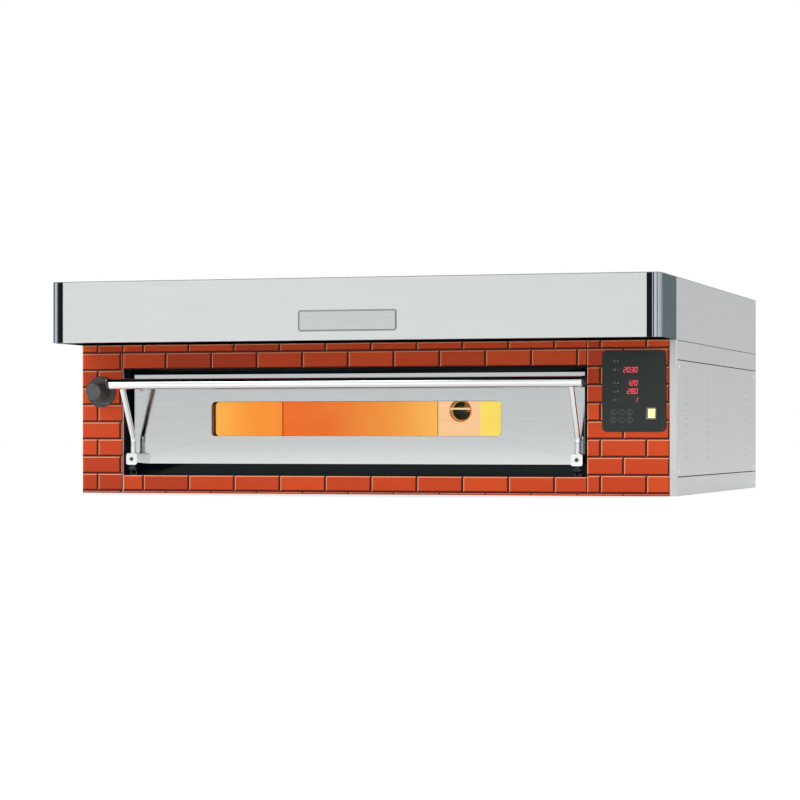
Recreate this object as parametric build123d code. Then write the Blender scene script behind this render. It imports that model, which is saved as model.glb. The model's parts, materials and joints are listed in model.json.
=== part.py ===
from build123d import *
import os

# Deck oven with one baking chamber, a brick-faced front and a canopy hood.
# Millimetres. Origin: centre of the body's footprint, on its base.
# +X is to the right of someone who faces the door, -Y points out of the door, +Z is up.

# Driving dimensions: casing
BODY_WIDTH = 1400.0
BODY_DEPTH = 1090.0
BODY_HEIGHT = 342.0
SHEET = 1.5
BASE_SHEET = 2.0
BASE_FLANGE = 25.0
SIDE_BAND = 41.0
SEAM = 2.0
POST_WIDTH = 25.0
POST_WALL = 2.0

# Front facing and door opening
FACING = 10.0
LEFT_PILLAR = 102.5
RIGHT_PILLAR = 184.0
CORNER_TRIM = 15.0
TOP_STRIP = 55.0
BOTTOM_STRIP = 41.0
LINING = 2.0

# Door
DOOR_RECESS = 35.0
DOOR_THICKNESS = 30.0
DOOR_SIDE_GAP = 12.0
DOOR_TOP_GAP = 12.0
DOOR_BOTTOM_GAP = 26.0
WINDOW_SIDE_MARGIN = 193.0
WINDOW_EDGE_MARGIN = 64.6
WINDOW_CORNER = 9.0
WINDOW_REVEAL = 17.0
GLASS_THICKNESS = 4.0
GLASS_MARGIN = 12.0

# Hinge and handle
HINGE_DEPTH = 8.0
HINGE_RISE = 16.0
PIN_RADIUS = 4.0
PIN_OVERHANG = 2.0
PIN_RUNNING = 0.06
PIN_SEAT = 0.02
LUG_RADIUS = 7.0
LUG_WIDTH = 10.0
EAR_THICKNESS = 3.0
EAR_GAP = 0.3
BRACKET_BASE = 3.0
BRACKET_LENGTH = 24.0
BLOCK_SIZE = 26.6
BLOCK_FRONT = 5.0
BLOCK_RISE = 8.4
BLOCK_INSET = 10.6
BLOCK_CORNER = 5.0
BLOCK_SCREW_RADIUS = 3.15
BLOCK_SCREW_DEPTH = 5.0
ARM_RADIUS = 6.5
ARM_DEPTH = 6.0
ARM_RISE = 34.0
ARM_BEND = 25.0
BAR_RADIUS = 12.0
BAR_WALL = 1.5
BAR_REACH = 66.0
BAR_DROP = 36.5
BAR_OVERHANG = 4.5
CAP_LENGTH = 9.5
CAP_RADIUS = 12.8
CAP_PLUG = 12.0

# Baking chamber
CHAMBER_SIDE_MARGIN = 49.0
CHAMBER_TOP_MARGIN = 22.0
CHAMBER_BACK_SPACE = 105.0
CHAMBER_FLOOR = 66.0
DECK_HEIGHT = 115.0
DECK_SILL_DROP = 2.0
MOUTH_PLATE = 2.0
GASKET_THICKNESS = 2.7
GASKET_WIDTH = 8.0
DOOR_AIR_GAP = 0.3
STONE_THICKNESS = 20.0
STONE_COUNT = 3
STONE_GAP = 2.0
SUPPORT_WIDTH = 6.0
ELEMENT_RADIUS = 4.0
ELEMENT_COUNT = 3
ELEMENT_LEG_SPACING = 120.0
ELEMENT_FRONT_GAP = 60.0
ELEMENT_TAIL = 30.0
ELEMENT_WALL_GAP = 10.0
INSULATION_SIDE = 55.0
INSULATION_GAP = 1.0
INSULATION_BACK = 70.0

# Chamber lamp and temperature probe, both in the back wall
LAMP_OFFSET = -8.0
LAMP_RISE = 8.0
LAMP_RADIUS = 30.0
LAMP_GLASS_RADIUS = 25.0
LAMP_RIM = 5.0
LAMP_DEPTH = 55.0
BULB_RADIUS = 9.0
BULB_LENGTH = 26.0
PROBE_RADIUS = 3.0
PROBE_LENGTH = 120.0
PROBE_OFFSET = 250.0
PROBE_DROP = 10.0

# Vapour duct and damper
DAMPER_OFFSET = 47.8
DAMPER_DROP = 53.0
DUCT_WIDTH = 70.0
DUCT_LENGTH = 80.0
DUCT_FRONT = 120.0
DUCT_FOOT = 130.0
BRANCH_LIFT = 15.0
BRANCH_HEIGHT = 40.0
BRANCH_LENGTH = 50.0
SHAFT_RADIUS = 4.0
SHAFT_CLEARANCE = 0.5
FLAP_THICKNESS = 1.5
FLAP_GAP = 2.0
DIAL_RADIUS = 36.0
DIAL_THICKNESS = 4.0
KNOB_RADIUS = 19.5
KNOB_HEIGHT = 45.0
KNOB_GAP = 0.4

# Control panel
OVERLAY_WIDTH = 143.0
OVERLAY_HEIGHT = 178.5
OVERLAY_THICKNESS = 2.5
OVERLAY_CORNER = 12.0
OVERLAY_EDGE = 21.8
OVERLAY_DROP = 22.6
OVERLAY_REBATE = 8.0
KEY_RADIUS = 4.6
KEY_GAP = 0.4
KEY_PITCH = 18.0
KEY_INSET = 25.5
KEY_LIFT = 26.0
KEY_ROW_PITCH = 17.0
KEY_PROUD = 0.9
KEY_LENGTH = 5.0
KEY_TRAVEL = 0.5
SWITCH_INSET = 33.0
SWITCH_LIFT = 39.5
SWITCH_WIDTH = 22.0
SWITCH_HEIGHT = 26.6
SWITCH_DEPTH = 12.0
SWITCH_TILT = 7.0
SWITCH_PROUD = 4.0
BEZEL_GAP_SIDE = 0.4
BEZEL_GAP_END = 1.4
BEZEL_RIM = 3.0
BEZEL_PROUD = 2.0
BEZEL_DEPTH = 14.0
BOARD_THICKNESS = 1.6
BOARD_SETBACK = 26.0
CONTACTOR = (45.0, 70.0, 80.0)
CONTACTOR_COUNT = 3
CONTACTOR_GAP = 6.0
TERMINAL = (40.0, 110.0, 35.0)
TERMINAL_GAP = 30.0

# Hood
HOOD_HEIGHT = 138.0
HOOD_REACH = 180.0
HOOD_CORNER = 18.0
HOOD_LIP = 20.0
FLUE_RADIUS = 75.0
FLUE_HEIGHT = 50.0
FLUE_BACK = 140.0
PLATE_WIDTH = 226.0
PLATE_HEIGHT = 47.0
PLATE_THICKNESS = 2.0
PLATE_CORNER = 6.0
PLATE_LIFT = 43.0
PLATE_OFFSET = 4.0

# Side panels, base and back
VENT_RADIUS = 2.5
VENT_COLUMNS = (113.5, 385.0, 936.0)
VENT_COUNT = 11
VENT_END_MARGIN = 40.0
SCREW_RADIUS = 3.5
SCREW_LENGTH = 12.0
SCREW_HOLE_GAP = 0.1
SCREW_INSET = 31.0
SCREW_END_MARGIN = 12.0
BOLT_SPACING_X = 1200.0
BOLT_SPACING_Y = 900.0
BOLT_RADIUS = 5.5
GLAND_RADIUS = 15.0
GLAND_BORE = 9.0
GLAND_LENGTH = 24.0
GLAND_INSET = 120.0
GLAND_HEIGHT = 80.0
BACK_VENT_COUNT = 12
BACK_VENT_SIZE = (60.0, 5.0)
BACK_VENT_PITCH = 14.0

# Casing planes
left = -BODY_WIDTH / 2
right = BODY_WIDTH / 2
front = -BODY_DEPTH / 2
back = BODY_DEPTH / 2
behind_facing = front + FACING
casing_top = BODY_HEIGHT - SHEET

# Door opening
opening_left = left + LEFT_PILLAR
opening_right = right - CORNER_TRIM - RIGHT_PILLAR
opening_bottom = BOTTOM_STRIP
opening_top = BODY_HEIGHT - TOP_STRIP
opening_centre = (opening_left + opening_right) / 2

# Door and its window
door_left = opening_left + DOOR_SIDE_GAP
door_right = opening_right - DOOR_SIDE_GAP
door_bottom = opening_bottom + DOOR_BOTTOM_GAP
door_top = opening_top - DOOR_TOP_GAP
door_face = front + DOOR_RECESS
door_back = door_face + DOOR_THICKNESS
window_left = door_left + WINDOW_SIDE_MARGIN
window_right = door_right - WINDOW_SIDE_MARGIN
window_bottom = door_bottom + WINDOW_EDGE_MARGIN
window_top = door_top - WINDOW_EDGE_MARGIN
glass_front = door_face + WINDOW_REVEAL

# Hinge and handle
hinge_y = front + HINGE_DEPTH
hinge_z = opening_bottom + HINGE_RISE
block_places = (door_left + BLOCK_INSET, door_right - BLOCK_INSET)
block_bottom = hinge_z + BLOCK_RISE
block_top = block_bottom + BLOCK_SIZE
bar_y = front - BAR_REACH
bar_z = opening_top - BAR_DROP
bar_left = opening_left - BAR_OVERHANG
bar_right = opening_right + BAR_OVERHANG

# Baking chamber
mouth_front = door_back + DOOR_AIR_GAP + GASKET_THICKNESS
chamber_front = mouth_front + MOUTH_PLATE
chamber_back = back - CHAMBER_BACK_SPACE
chamber_left = opening_left + CHAMBER_SIDE_MARGIN
chamber_right = opening_right - CHAMBER_SIDE_MARGIN
chamber_top = opening_top - CHAMBER_TOP_MARGIN
mouth_bottom = DECK_HEIGHT - DECK_SILL_DROP
stone_bottom = DECK_HEIGHT - STONE_THICKNESS
lamp_x = opening_centre + LAMP_OFFSET
lamp_z = (DECK_HEIGHT + chamber_top) / 2 + LAMP_RISE
probe_x = opening_centre + PROBE_OFFSET
probe_z = chamber_top - PROBE_DROP

# Vapour duct and damper
damper_x = left + DAMPER_OFFSET
damper_z = opening_top - DAMPER_DROP
duct_left = damper_x - DUCT_WIDTH / 2
duct_right = damper_x + DUCT_WIDTH / 2
duct_front = front + DUCT_FRONT
duct_back = duct_front + DUCT_LENGTH
branch_bottom = DUCT_FOOT + BRANCH_LIFT
branch_top = branch_bottom + BRANCH_HEIGHT
branch_front = (duct_front + duct_back - BRANCH_LENGTH) / 2
branch_back = branch_front + BRANCH_LENGTH
branch_end = chamber_left - SHEET

# Control panel
overlay_right = right - OVERLAY_EDGE
overlay_left = overlay_right - OVERLAY_WIDTH
overlay_top = BODY_HEIGHT - OVERLAY_DROP
overlay_bottom = overlay_top - OVERLAY_HEIGHT
overlay_face = front - OVERLAY_THICKNESS
switch_x = overlay_right - SWITCH_INSET
switch_z = overlay_bottom + SWITCH_LIFT
key_places = [
    (overlay_left + KEY_INSET + column * KEY_PITCH, overlay_bottom + KEY_LIFT + row * KEY_ROW_PITCH)
    for row in range(2)
    for column in range(3)
]
board_front = front + BOARD_SETBACK

# Hood
hood_front = front - HOOD_REACH
hood_top_z = BODY_HEIGHT + HOOD_HEIGHT
hood_wall_top = hood_top_z - SHEET
flue_y = back - FLUE_BACK
gland_x = right - GLAND_INSET


def block(x0, x1, y0, y1, z0, z1):
    """Box between two corners."""
    centre = Pos((x0 + x1) / 2, (y0 + y1) / 2, (z0 + z1) / 2)
    return centre * Box(x1 - x0, y1 - y0, z1 - z0)


def rod(start, direction, radius, length):
    """Round bar from a point along a direction."""
    return extrude(Plane(start, z_dir=direction) * Circle(radius), length)


def rounded_block(x0, x1, y0, y1, z0, z1, radius):
    """Box whose four edges along Y are rounded."""
    solid = block(x0, x1, y0, y1, z0, z1)
    return fillet(solid.edges().filter_by(Axis.Y), radius)


def ring_of_bars(outer, inner, y0, y1):
    """Four flat bars round a rectangular opening; outer and inner are (x0, x1, z0, z1)."""
    ox0, ox1, oz0, oz1 = outer
    ix0, ix1, iz0, iz1 = inner
    return [
        block(ox0, ox1, y0, y1, oz0, iz0),
        block(ox0, ox1, y0, y1, iz1, oz1),
        block(ox0, ix0, y0, y1, iz0, iz1),
        block(ix1, ox1, y0, y1, iz0, iz1),
    ]


def mirrored(solid):
    """A solid and its mirror image across the centre plane of the body."""
    return [solid, mirror(solid, about=Plane.YZ)]


# Casing

def base_pan():
    """Folded tray under the body, with four holes for bolting it to a stand."""
    x1 = right - SHEET - SEAM / 4
    y0 = behind_facing + SEAM / 4
    y1 = back - SHEET - SEAM / 4
    tray = block(-x1, x1, y0, y1, 0, BASE_FLANGE)
    tray -= block(-x1 + BASE_SHEET, x1 - BASE_SHEET, y0 + BASE_SHEET, y1 - BASE_SHEET,
                  BASE_SHEET, BASE_FLANGE)
    for x in (-BOLT_SPACING_X / 2, BOLT_SPACING_X / 2):
        for y in (-BOLT_SPACING_Y / 2, BOLT_SPACING_Y / 2):
            tray -= rod((x, y, 0), (0, 0, 1), BOLT_RADIUS, BASE_SHEET)
    return tray


def screw_places():
    """Y and Z of the four screws of a side panel."""
    depths = (front + SCREW_INSET, back - SCREW_INSET)
    heights = (SIDE_BAND + SEAM + SCREW_END_MARGIN, casing_top - SIDE_BAND - SEAM - SCREW_END_MARGIN)
    return [(y, z) for y in depths for z in heights]


def side_panels():
    """Left and right panels, with three columns of vents and four screw holes each."""
    z0 = SIDE_BAND + SEAM
    z1 = casing_top - SIDE_BAND - SEAM
    panel = block(right - SHEET, right, behind_facing, back - SHEET, z0, z1)
    vent_step = (z1 - z0 - 2 * VENT_END_MARGIN) / (VENT_COUNT - 1)
    for depth in VENT_COLUMNS:
        for row in range(VENT_COUNT):
            start = (right - SHEET, front + depth, z0 + VENT_END_MARGIN + row * vent_step)
            panel -= rod(start, (1, 0, 0), VENT_RADIUS, SHEET)
    for y, z in screw_places():
        panel -= rod((right - SHEET, y, z), (1, 0, 0), SCREW_RADIUS + SCREW_HOLE_GAP, SHEET)
    return mirrored(panel)


def side_bands():
    """Plain bands above and below both side panels."""
    lower = block(right - SHEET, right, behind_facing, back - SHEET, 0, SIDE_BAND)
    upper = block(right - SHEET, right, behind_facing, back - SHEET,
                  casing_top - SIDE_BAND, casing_top)
    return mirrored(lower) + mirrored(upper)


def panel_screws():
    """Countersunk screws of the side panels, flush with them."""
    screws = []
    for y, z in screw_places():
        screw = rod((right, y, z), (-1, 0, 0), SCREW_RADIUS, SCREW_LENGTH)
        screws += mirrored(screw)
    return screws


def back_panel():
    """Rear cover with two banks of slots and the hole of the cable gland."""
    panel = block(left, right, back - SHEET, back, 0, casing_top)
    width, height = BACK_VENT_SIZE
    first = (casing_top - (BACK_VENT_COUNT - 1) * BACK_VENT_PITCH) / 2
    for x in (left + GLAND_INSET, right - 2 * GLAND_INSET):
        for row in range(BACK_VENT_COUNT):
            z = first + row * BACK_VENT_PITCH
            panel -= block(x - width / 2, x + width / 2, back - SHEET, back,
                           z - height / 2, z + height / 2)
    panel -= rod((gland_x, back - SHEET, GLAND_HEIGHT), (0, 1, 0), GLAND_RADIUS, SHEET)
    return panel


def top_cover():
    """Sheet that closes the body under the hood, with a hole over the vapour duct."""
    cover = block(left, right, behind_facing, back, casing_top, BODY_HEIGHT)
    cover -= block(duct_left, duct_right, duct_front, duct_back, casing_top, BODY_HEIGHT)
    return cover


def corner_posts():
    """Four angle posts of the frame, tapped for the screws of the side panels."""
    x1 = right - SHEET - SEAM / 4 - BASE_SHEET
    posts = []
    for y0, inward in ((behind_facing + SEAM / 4 + BASE_SHEET, 1),
                       (back - SHEET - SEAM / 4 - BASE_SHEET, -1)):
        y1 = y0 + inward * POST_WIDTH
        y2 = y0 + inward * POST_WALL
        post = block(x1 - POST_WIDTH, x1, min(y0, y1), max(y0, y1), BASE_SHEET, casing_top)
        post -= block(x1 - POST_WIDTH, x1 - POST_WALL, min(y1, y2), max(y1, y2),
                      BASE_SHEET, casing_top)
        for y, z in screw_places():
            post -= rod((right, y, z), (-1, 0, 0), SCREW_RADIUS, SCREW_LENGTH)
        posts += mirrored(post)
    return posts


def gland():
    """Cable gland in the back panel: a flanged nut outside, a sleeve through the sheet."""
    nut = extrude(Plane((gland_x, back, GLAND_HEIGHT), z_dir=(0, 1, 0))
                  * RegularPolygon(GLAND_RADIUS + 4, 6), GLAND_LENGTH / 2)
    sleeve = rod((gland_x, back - GLAND_LENGTH / 2, GLAND_HEIGHT), (0, 1, 0),
                 GLAND_RADIUS - SCREW_HOLE_GAP, GLAND_LENGTH / 2)
    bore = rod((gland_x, back - GLAND_LENGTH / 2, GLAND_HEIGHT), (0, 1, 0),
               GLAND_BORE, GLAND_LENGTH)
    return nut + sleeve - bore


# Front

def brick_panel_left():
    """Left pillar, with the hole of the damper shaft."""
    panel = block(left, opening_left, front, behind_facing, 0, BODY_HEIGHT)
    hole = rod((damper_x, front, damper_z), (0, 1, 0), SHAFT_RADIUS + SHAFT_CLEARANCE, FACING)
    return panel - hole


def brick_panel_right():
    """Right pillar, cut out behind the control overlay."""
    panel = block(opening_right, right - CORNER_TRIM, front, behind_facing, 0, BODY_HEIGHT)
    rebate = OVERLAY_REBATE
    return panel - block(overlay_left + rebate, overlay_right - rebate, front, behind_facing,
                         overlay_bottom + rebate, overlay_top - rebate)


def brick_strip(z0, z1):
    """Strip above or below the door opening."""
    return block(opening_left, opening_right, front, behind_facing, z0, z1)


def corner_trim():
    """Steel corner at the right of the facing."""
    trim = block(right - CORNER_TRIM, right, front, behind_facing, 0, BODY_HEIGHT)
    outer_edge = trim.edges().filter_by(Axis.Z).sort_by(lambda e: e.center().X - e.center().Y)[-1]
    return fillet(outer_edge, SEAM)


def door_surround():
    """Dark lining of the door opening: sill, head and two jambs."""
    inner = (opening_left, opening_right, opening_bottom, opening_top)
    outer = (opening_left - LINING, opening_right + LINING,
             opening_bottom - LINING, opening_top + LINING)
    return ring_of_bars(outer, inner, behind_facing, mouth_front)


def mouth_frame():
    """Four flat strips between the lining and the mouth of the baking chamber."""
    outer = (opening_left - LINING, opening_right + LINING,
             opening_bottom - LINING, opening_top + LINING)
    inner = (chamber_left, chamber_right, mouth_bottom, chamber_top)
    return ring_of_bars(outer, inner, mouth_front, chamber_front)


def door_gasket():
    """Woven seal round the mouth, just clear of the closed door."""
    grow = GASKET_WIDTH
    y0 = mouth_front - GASKET_THICKNESS
    ring = block(chamber_left - grow, chamber_right + grow, y0, mouth_front,
                 mouth_bottom - grow, chamber_top + grow)
    return ring - block(chamber_left, chamber_right, y0, mouth_front, mouth_bottom, chamber_top)


# Baking chamber

def chamber_shell():
    """Five sheets of the chamber: floor, roof, two sides and back."""
    x0, x1 = chamber_left - SHEET, chamber_right + SHEET
    floor = block(x0, x1, chamber_front, chamber_back, CHAMBER_FLOOR - SHEET, CHAMBER_FLOOR)
    roof = block(x0, x1, chamber_front, chamber_back, chamber_top, chamber_top + SHEET)
    side_left = block(x0, chamber_left, chamber_front, chamber_back, CHAMBER_FLOOR, chamber_top)
    side_left -= block(x0, chamber_left, branch_front + SHEET, branch_back - SHEET,
                       branch_bottom + SHEET, branch_top - SHEET)
    side_right = block(chamber_right, x1, chamber_front, chamber_back, CHAMBER_FLOOR, chamber_top)
    rear = block(x0, x1, chamber_back, chamber_back + SHEET,
                 CHAMBER_FLOOR - SHEET, chamber_top + SHEET)
    rear -= rod((lamp_x, chamber_back, lamp_z), (0, 1, 0), LAMP_GLASS_RADIUS, SHEET)
    rear -= rod((probe_x, chamber_back, probe_z), (0, 1, 0), PROBE_RADIUS, SHEET)
    for x, z in element_leg_places():
        rear -= rod((x, chamber_back, z), (0, 1, 0), ELEMENT_RADIUS, SHEET)
    return [floor, roof, side_left, side_right, rear]


def deck_stones():
    """Refractory slabs side by side on the supports."""
    width = (chamber_right - chamber_left - (STONE_COUNT + 1) * STONE_GAP) / STONE_COUNT
    stones = []
    for index in range(STONE_COUNT):
        x0 = chamber_left + STONE_GAP + index * (width + STONE_GAP)
        stones.append(block(x0, x0 + width, chamber_front, chamber_back - STONE_GAP,
                            stone_bottom, DECK_HEIGHT))
    return stones


def stone_supports():
    """Steel bars that carry the slabs above the lower elements."""
    pitch = (chamber_right - chamber_left) / STONE_COUNT
    bars = []
    for index in range(STONE_COUNT + 1):
        x = chamber_left + index * pitch
        x = min(max(x, chamber_left + SUPPORT_WIDTH / 2), chamber_right - SUPPORT_WIDTH / 2)
        bars.append(block(x - SUPPORT_WIDTH / 2, x + SUPPORT_WIDTH / 2, chamber_front,
                          chamber_back, CHAMBER_FLOOR, stone_bottom))
    return bars


def element_centres():
    """X of the middle of each hairpin element."""
    pitch = (chamber_right - chamber_left) / ELEMENT_COUNT
    return [chamber_left + (index + 0.5) * pitch for index in range(ELEMENT_COUNT)]


lower_element_z = (CHAMBER_FLOOR + stone_bottom) / 2
upper_element_z = chamber_top - ELEMENT_WALL_GAP


def element_leg_places():
    """X and Z of every element leg in the back wall."""
    places = []
    for z in (lower_element_z, upper_element_z):
        for x in element_centres():
            places.append((x - ELEMENT_LEG_SPACING / 2, z))
            places.append((x + ELEMENT_LEG_SPACING / 2, z))
    return places


def hairpin(x, z):
    """Tubular heating element: two long legs joined by a half circle at the front."""
    half = ELEMENT_LEG_SPACING / 2
    bend_y = chamber_front + ELEMENT_FRONT_GAP + half
    end_y = chamber_back + ELEMENT_TAIL
    path = Line((x - half, end_y, z), (x - half, bend_y, z))
    path += ThreePointArc((x - half, bend_y, z), (x, bend_y - half, z), (x + half, bend_y, z))
    path += Line((x + half, bend_y, z), (x + half, end_y, z))
    section = Plane((x - half, end_y, z), z_dir=(0, -1, 0)) * Circle(ELEMENT_RADIUS)
    return sweep(section, path=path)


def elements(z):
    """A row of hairpin elements at one height."""
    return [hairpin(x, z) for x in element_centres()]


def insulation():
    """Mineral wool slabs under, over, beside and behind the chamber."""
    gap = INSULATION_GAP
    x0 = chamber_left - SHEET - gap
    x1 = chamber_right + SHEET + gap
    y0 = chamber_front + gap
    y1 = chamber_back + SHEET + gap
    under = block(x0, x1, y0, y1, BASE_SHEET + gap, CHAMBER_FLOOR - SHEET - gap)
    over = block(x0, x1, y0, y1, chamber_top + SHEET + gap, casing_top - gap)
    z0, z1 = BASE_SHEET + gap, casing_top - gap
    beside_left = block(x0 - INSULATION_SIDE, x0, y0, y1, z0, z1)
    beside_left -= block(x0 - INSULATION_SIDE, x0, branch_front - gap, branch_back + gap,
                         branch_bottom - gap, branch_top + gap)
    beside_right = block(x1, x1 + INSULATION_SIDE, y0, y1, z0, z1)
    behind = block(x0, x1, y1, y1 + INSULATION_BACK, z0, z1)
    behind -= rod((lamp_x, y1, lamp_z), (0, 1, 0), LAMP_RADIUS + gap, INSULATION_BACK)
    behind -= rod((probe_x, y1, probe_z), (0, 1, 0), PROBE_RADIUS + gap, INSULATION_BACK)
    for x, z in element_leg_places():
        behind -= rod((x, y1, z), (0, 1, 0), ELEMENT_RADIUS + gap, INSULATION_BACK)
    return [under, over, beside_left, beside_right, behind]


def lamp_bezel():
    """Ring that holds the lamp glass against the back wall."""
    ring = rod((lamp_x, chamber_back, lamp_z), (0, -1, 0), LAMP_RADIUS, LAMP_RIM)
    ring = fillet(ring.faces().sort_by(Axis.Y)[0].edges(), LAMP_RIM / 2)
    return ring - rod((lamp_x, chamber_back, lamp_z), (0, -1, 0), LAMP_GLASS_RADIUS, LAMP_RIM)


def lamp_glass():
    """Round lamp window, set in the wall and the bezel."""
    return rod((lamp_x, chamber_back + SHEET, lamp_z), (0, -1, 0), LAMP_GLASS_RADIUS,
               GLASS_THICKNESS)


def lamp_housing():
    """Cup behind the back wall."""
    start = (lamp_x, chamber_back + SHEET, lamp_z)
    cup = rod(start, (0, 1, 0), LAMP_RADIUS, LAMP_DEPTH)
    return cup - rod(start, (0, 1, 0), LAMP_RADIUS - SHEET, LAMP_DEPTH - SHEET)


def lamp_bulb():
    """Capsule lamp on the floor of its cup."""
    base = chamber_back + LAMP_DEPTH
    bulb = rod((lamp_x, base, lamp_z), (0, -1, 0), BULB_RADIUS, BULB_LENGTH)
    return fillet(bulb.faces().sort_by(Axis.Y)[0].edges(), BULB_RADIUS - 1)


def temperature_probe():
    """Sheathed probe through the back wall."""
    probe = rod((probe_x, chamber_back + ELEMENT_TAIL, probe_z), (0, -1, 0),
                PROBE_RADIUS, PROBE_LENGTH)
    return fillet(probe.faces().sort_by(Axis.Y)[0].edges(), PROBE_RADIUS / 2)


# Vapour duct and damper

def vapour_duct():
    """Upright duct of four sheets and its branch of four sheets to the chamber."""
    foot = DUCT_FOOT
    hole = SHAFT_RADIUS + SHAFT_CLEARANCE
    front_wall = block(duct_left, duct_right, duct_front, duct_front + SHEET, foot, BODY_HEIGHT)
    front_wall -= rod((damper_x, duct_front, damper_z), (0, 1, 0), hole, SHEET)
    rear_wall = block(duct_left, duct_right, duct_back - SHEET, duct_back, foot, BODY_HEIGHT)
    rear_wall -= rod((damper_x, duct_back - SHEET, damper_z), (0, 1, 0), hole, SHEET)
    y0, y1 = duct_front + SHEET, duct_back - SHEET
    left_wall = block(duct_left, duct_left + SHEET, y0, y1, foot, BODY_HEIGHT)
    right_wall = block(duct_right - SHEET, duct_right, y0, y1, foot, BODY_HEIGHT)
    right_wall -= block(duct_right - SHEET, duct_right, branch_front + SHEET,
                        branch_back - SHEET, branch_bottom + SHEET, branch_top - SHEET)
    floor = block(duct_left + SHEET, duct_right - SHEET, y0, y1, foot, foot + SHEET)
    branch = []
    for z0 in (branch_bottom, branch_top - SHEET):
        branch.append(block(duct_right, branch_end, branch_front, branch_back, z0, z0 + SHEET))
    for y in (branch_front, branch_back - SHEET):
        branch.append(block(duct_right, branch_end, y, y + SHEET,
                            branch_bottom + SHEET, branch_top - SHEET))
    return [front_wall, rear_wall, left_wall, right_wall, floor] + branch


def damper_vane():
    """Shaft from the knob through the duct, with the flap that closes the duct."""
    start_y = front - DIAL_THICKNESS - KNOB_GAP
    shaft = rod((damper_x, start_y, damper_z), (0, 1, 0), SHAFT_RADIUS,
                duct_back + SHAFT_RADIUS - start_y)
    half = DUCT_WIDTH / 2 - SHEET - FLAP_GAP
    flap = block(damper_x - half, damper_x + half, duct_front + SHEET + FLAP_GAP,
                 duct_back - SHEET - FLAP_GAP, damper_z - FLAP_THICKNESS / 2,
                 damper_z + FLAP_THICKNESS / 2)
    return shaft + flap


def damper_dial():
    """Round plate behind the damper knob."""
    dial = rod((damper_x, front, damper_z), (0, -1, 0), DIAL_RADIUS, DIAL_THICKNESS)
    dial = fillet(dial.faces().sort_by(Axis.Y)[0].edges(), DIAL_THICKNESS / 4)
    return dial - rod((damper_x, front, damper_z), (0, -1, 0),
                      SHAFT_RADIUS + SHAFT_CLEARANCE, DIAL_THICKNESS)


def damper_knob():
    """Round grip."""
    base_y = front - DIAL_THICKNESS - KNOB_GAP
    grip = rod((damper_x, base_y, damper_z), (0, -1, 0), KNOB_RADIUS, KNOB_HEIGHT)
    return fillet(grip.faces().sort_by(Axis.Y)[0].edges(), KNOB_RADIUS / 8)


# Control panel

def overlay():
    """Front plate of the controls, with holes for six keys and the light switch."""
    plate = rounded_block(overlay_left, overlay_right, overlay_face, front,
                          overlay_bottom, overlay_top, OVERLAY_CORNER)
    for x, z in key_places:
        plate -= rod((x, overlay_face, z), (0, 1, 0), KEY_RADIUS + KEY_GAP, OVERLAY_THICKNESS)
    half_width, half_height = bezel_hole()
    return plate - block(switch_x - half_width, switch_x + half_width, overlay_face, front,
                         switch_z - half_height, switch_z + half_height)


def bezel_hole():
    """Half width and half height of the hole that the bezel's sleeve fills."""
    wall = BEZEL_RIM / 2
    return (SWITCH_WIDTH / 2 + BEZEL_GAP_SIDE + wall, SWITCH_HEIGHT / 2 + BEZEL_GAP_END + wall)


def switch_bezel():
    """Black frame round the rocker, with a closed box behind it."""
    half_width, half_height = bezel_hole()
    wall = BEZEL_RIM / 2
    rim = rounded_block(switch_x - half_width - wall, switch_x + half_width + wall,
                        overlay_face - BEZEL_PROUD, overlay_face,
                        switch_z - half_height - wall, switch_z + half_height + wall, wall)
    sleeve = block(switch_x - half_width, switch_x + half_width, overlay_face,
                   overlay_face + BEZEL_DEPTH, switch_z - half_height, switch_z + half_height)
    hollow = block(switch_x - half_width + wall, switch_x + half_width - wall,
                   overlay_face - BEZEL_PROUD, overlay_face + BEZEL_DEPTH - wall,
                   switch_z - half_height + wall, switch_z + half_height - wall)
    return rim + sleeve - hollow


def light_switch():
    """Rocker, resting with its upper half pressed in."""
    y0 = overlay_face - SWITCH_PROUD
    rocker = block(switch_x - SWITCH_WIDTH / 2, switch_x + SWITCH_WIDTH / 2, y0,
                   y0 + SWITCH_DEPTH, switch_z - SWITCH_HEIGHT / 2, switch_z + SWITCH_HEIGHT / 2)
    rocker = fillet(rocker.faces().sort_by(Axis.Y)[0].edges(), 1)
    axis = Axis((switch_x, y0 + SWITCH_DEPTH / 2, switch_z), (1, 0, 0))
    return rocker.rotate(axis, -SWITCH_TILT)


def key(x, z):
    """Short round key that stands a little proud of the overlay."""
    button = rod((x, overlay_face - KEY_PROUD + KEY_LENGTH, z), (0, -1, 0), KEY_RADIUS, KEY_LENGTH)
    return fillet(button.faces().sort_by(Axis.Y)[0].edges(), KEY_TRAVEL)


def control_board():
    """Circuit board behind the overlay."""
    rebate = OVERLAY_REBATE
    return block(overlay_left + rebate, overlay_right - rebate, board_front,
                 board_front + BOARD_THICKNESS, overlay_bottom + rebate, overlay_top - rebate)


def contactors():
    """Row of identical contactors on the base of the control compartment."""
    width, depth, height = CONTACTOR
    x1 = right - SHEET - TERMINAL_GAP - BASE_SHEET
    blocks = []
    for index in range(CONTACTOR_COUNT):
        y0 = CONTACTOR_GAP + index * (depth + CONTACTOR_GAP)
        blocks.append(block(x1 - width, x1, y0, y0 + depth, BASE_SHEET, BASE_SHEET + height))
    return blocks


def terminal_block():
    """Supply terminals on the base, near the cable gland."""
    width, depth, height = TERMINAL
    x1 = right - SHEET - TERMINAL_GAP - BASE_SHEET
    y1 = back - SHEET - TERMINAL_GAP
    return block(x1 - width, x1, y1 - depth, y1, BASE_SHEET, BASE_SHEET + height)


# Door

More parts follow.
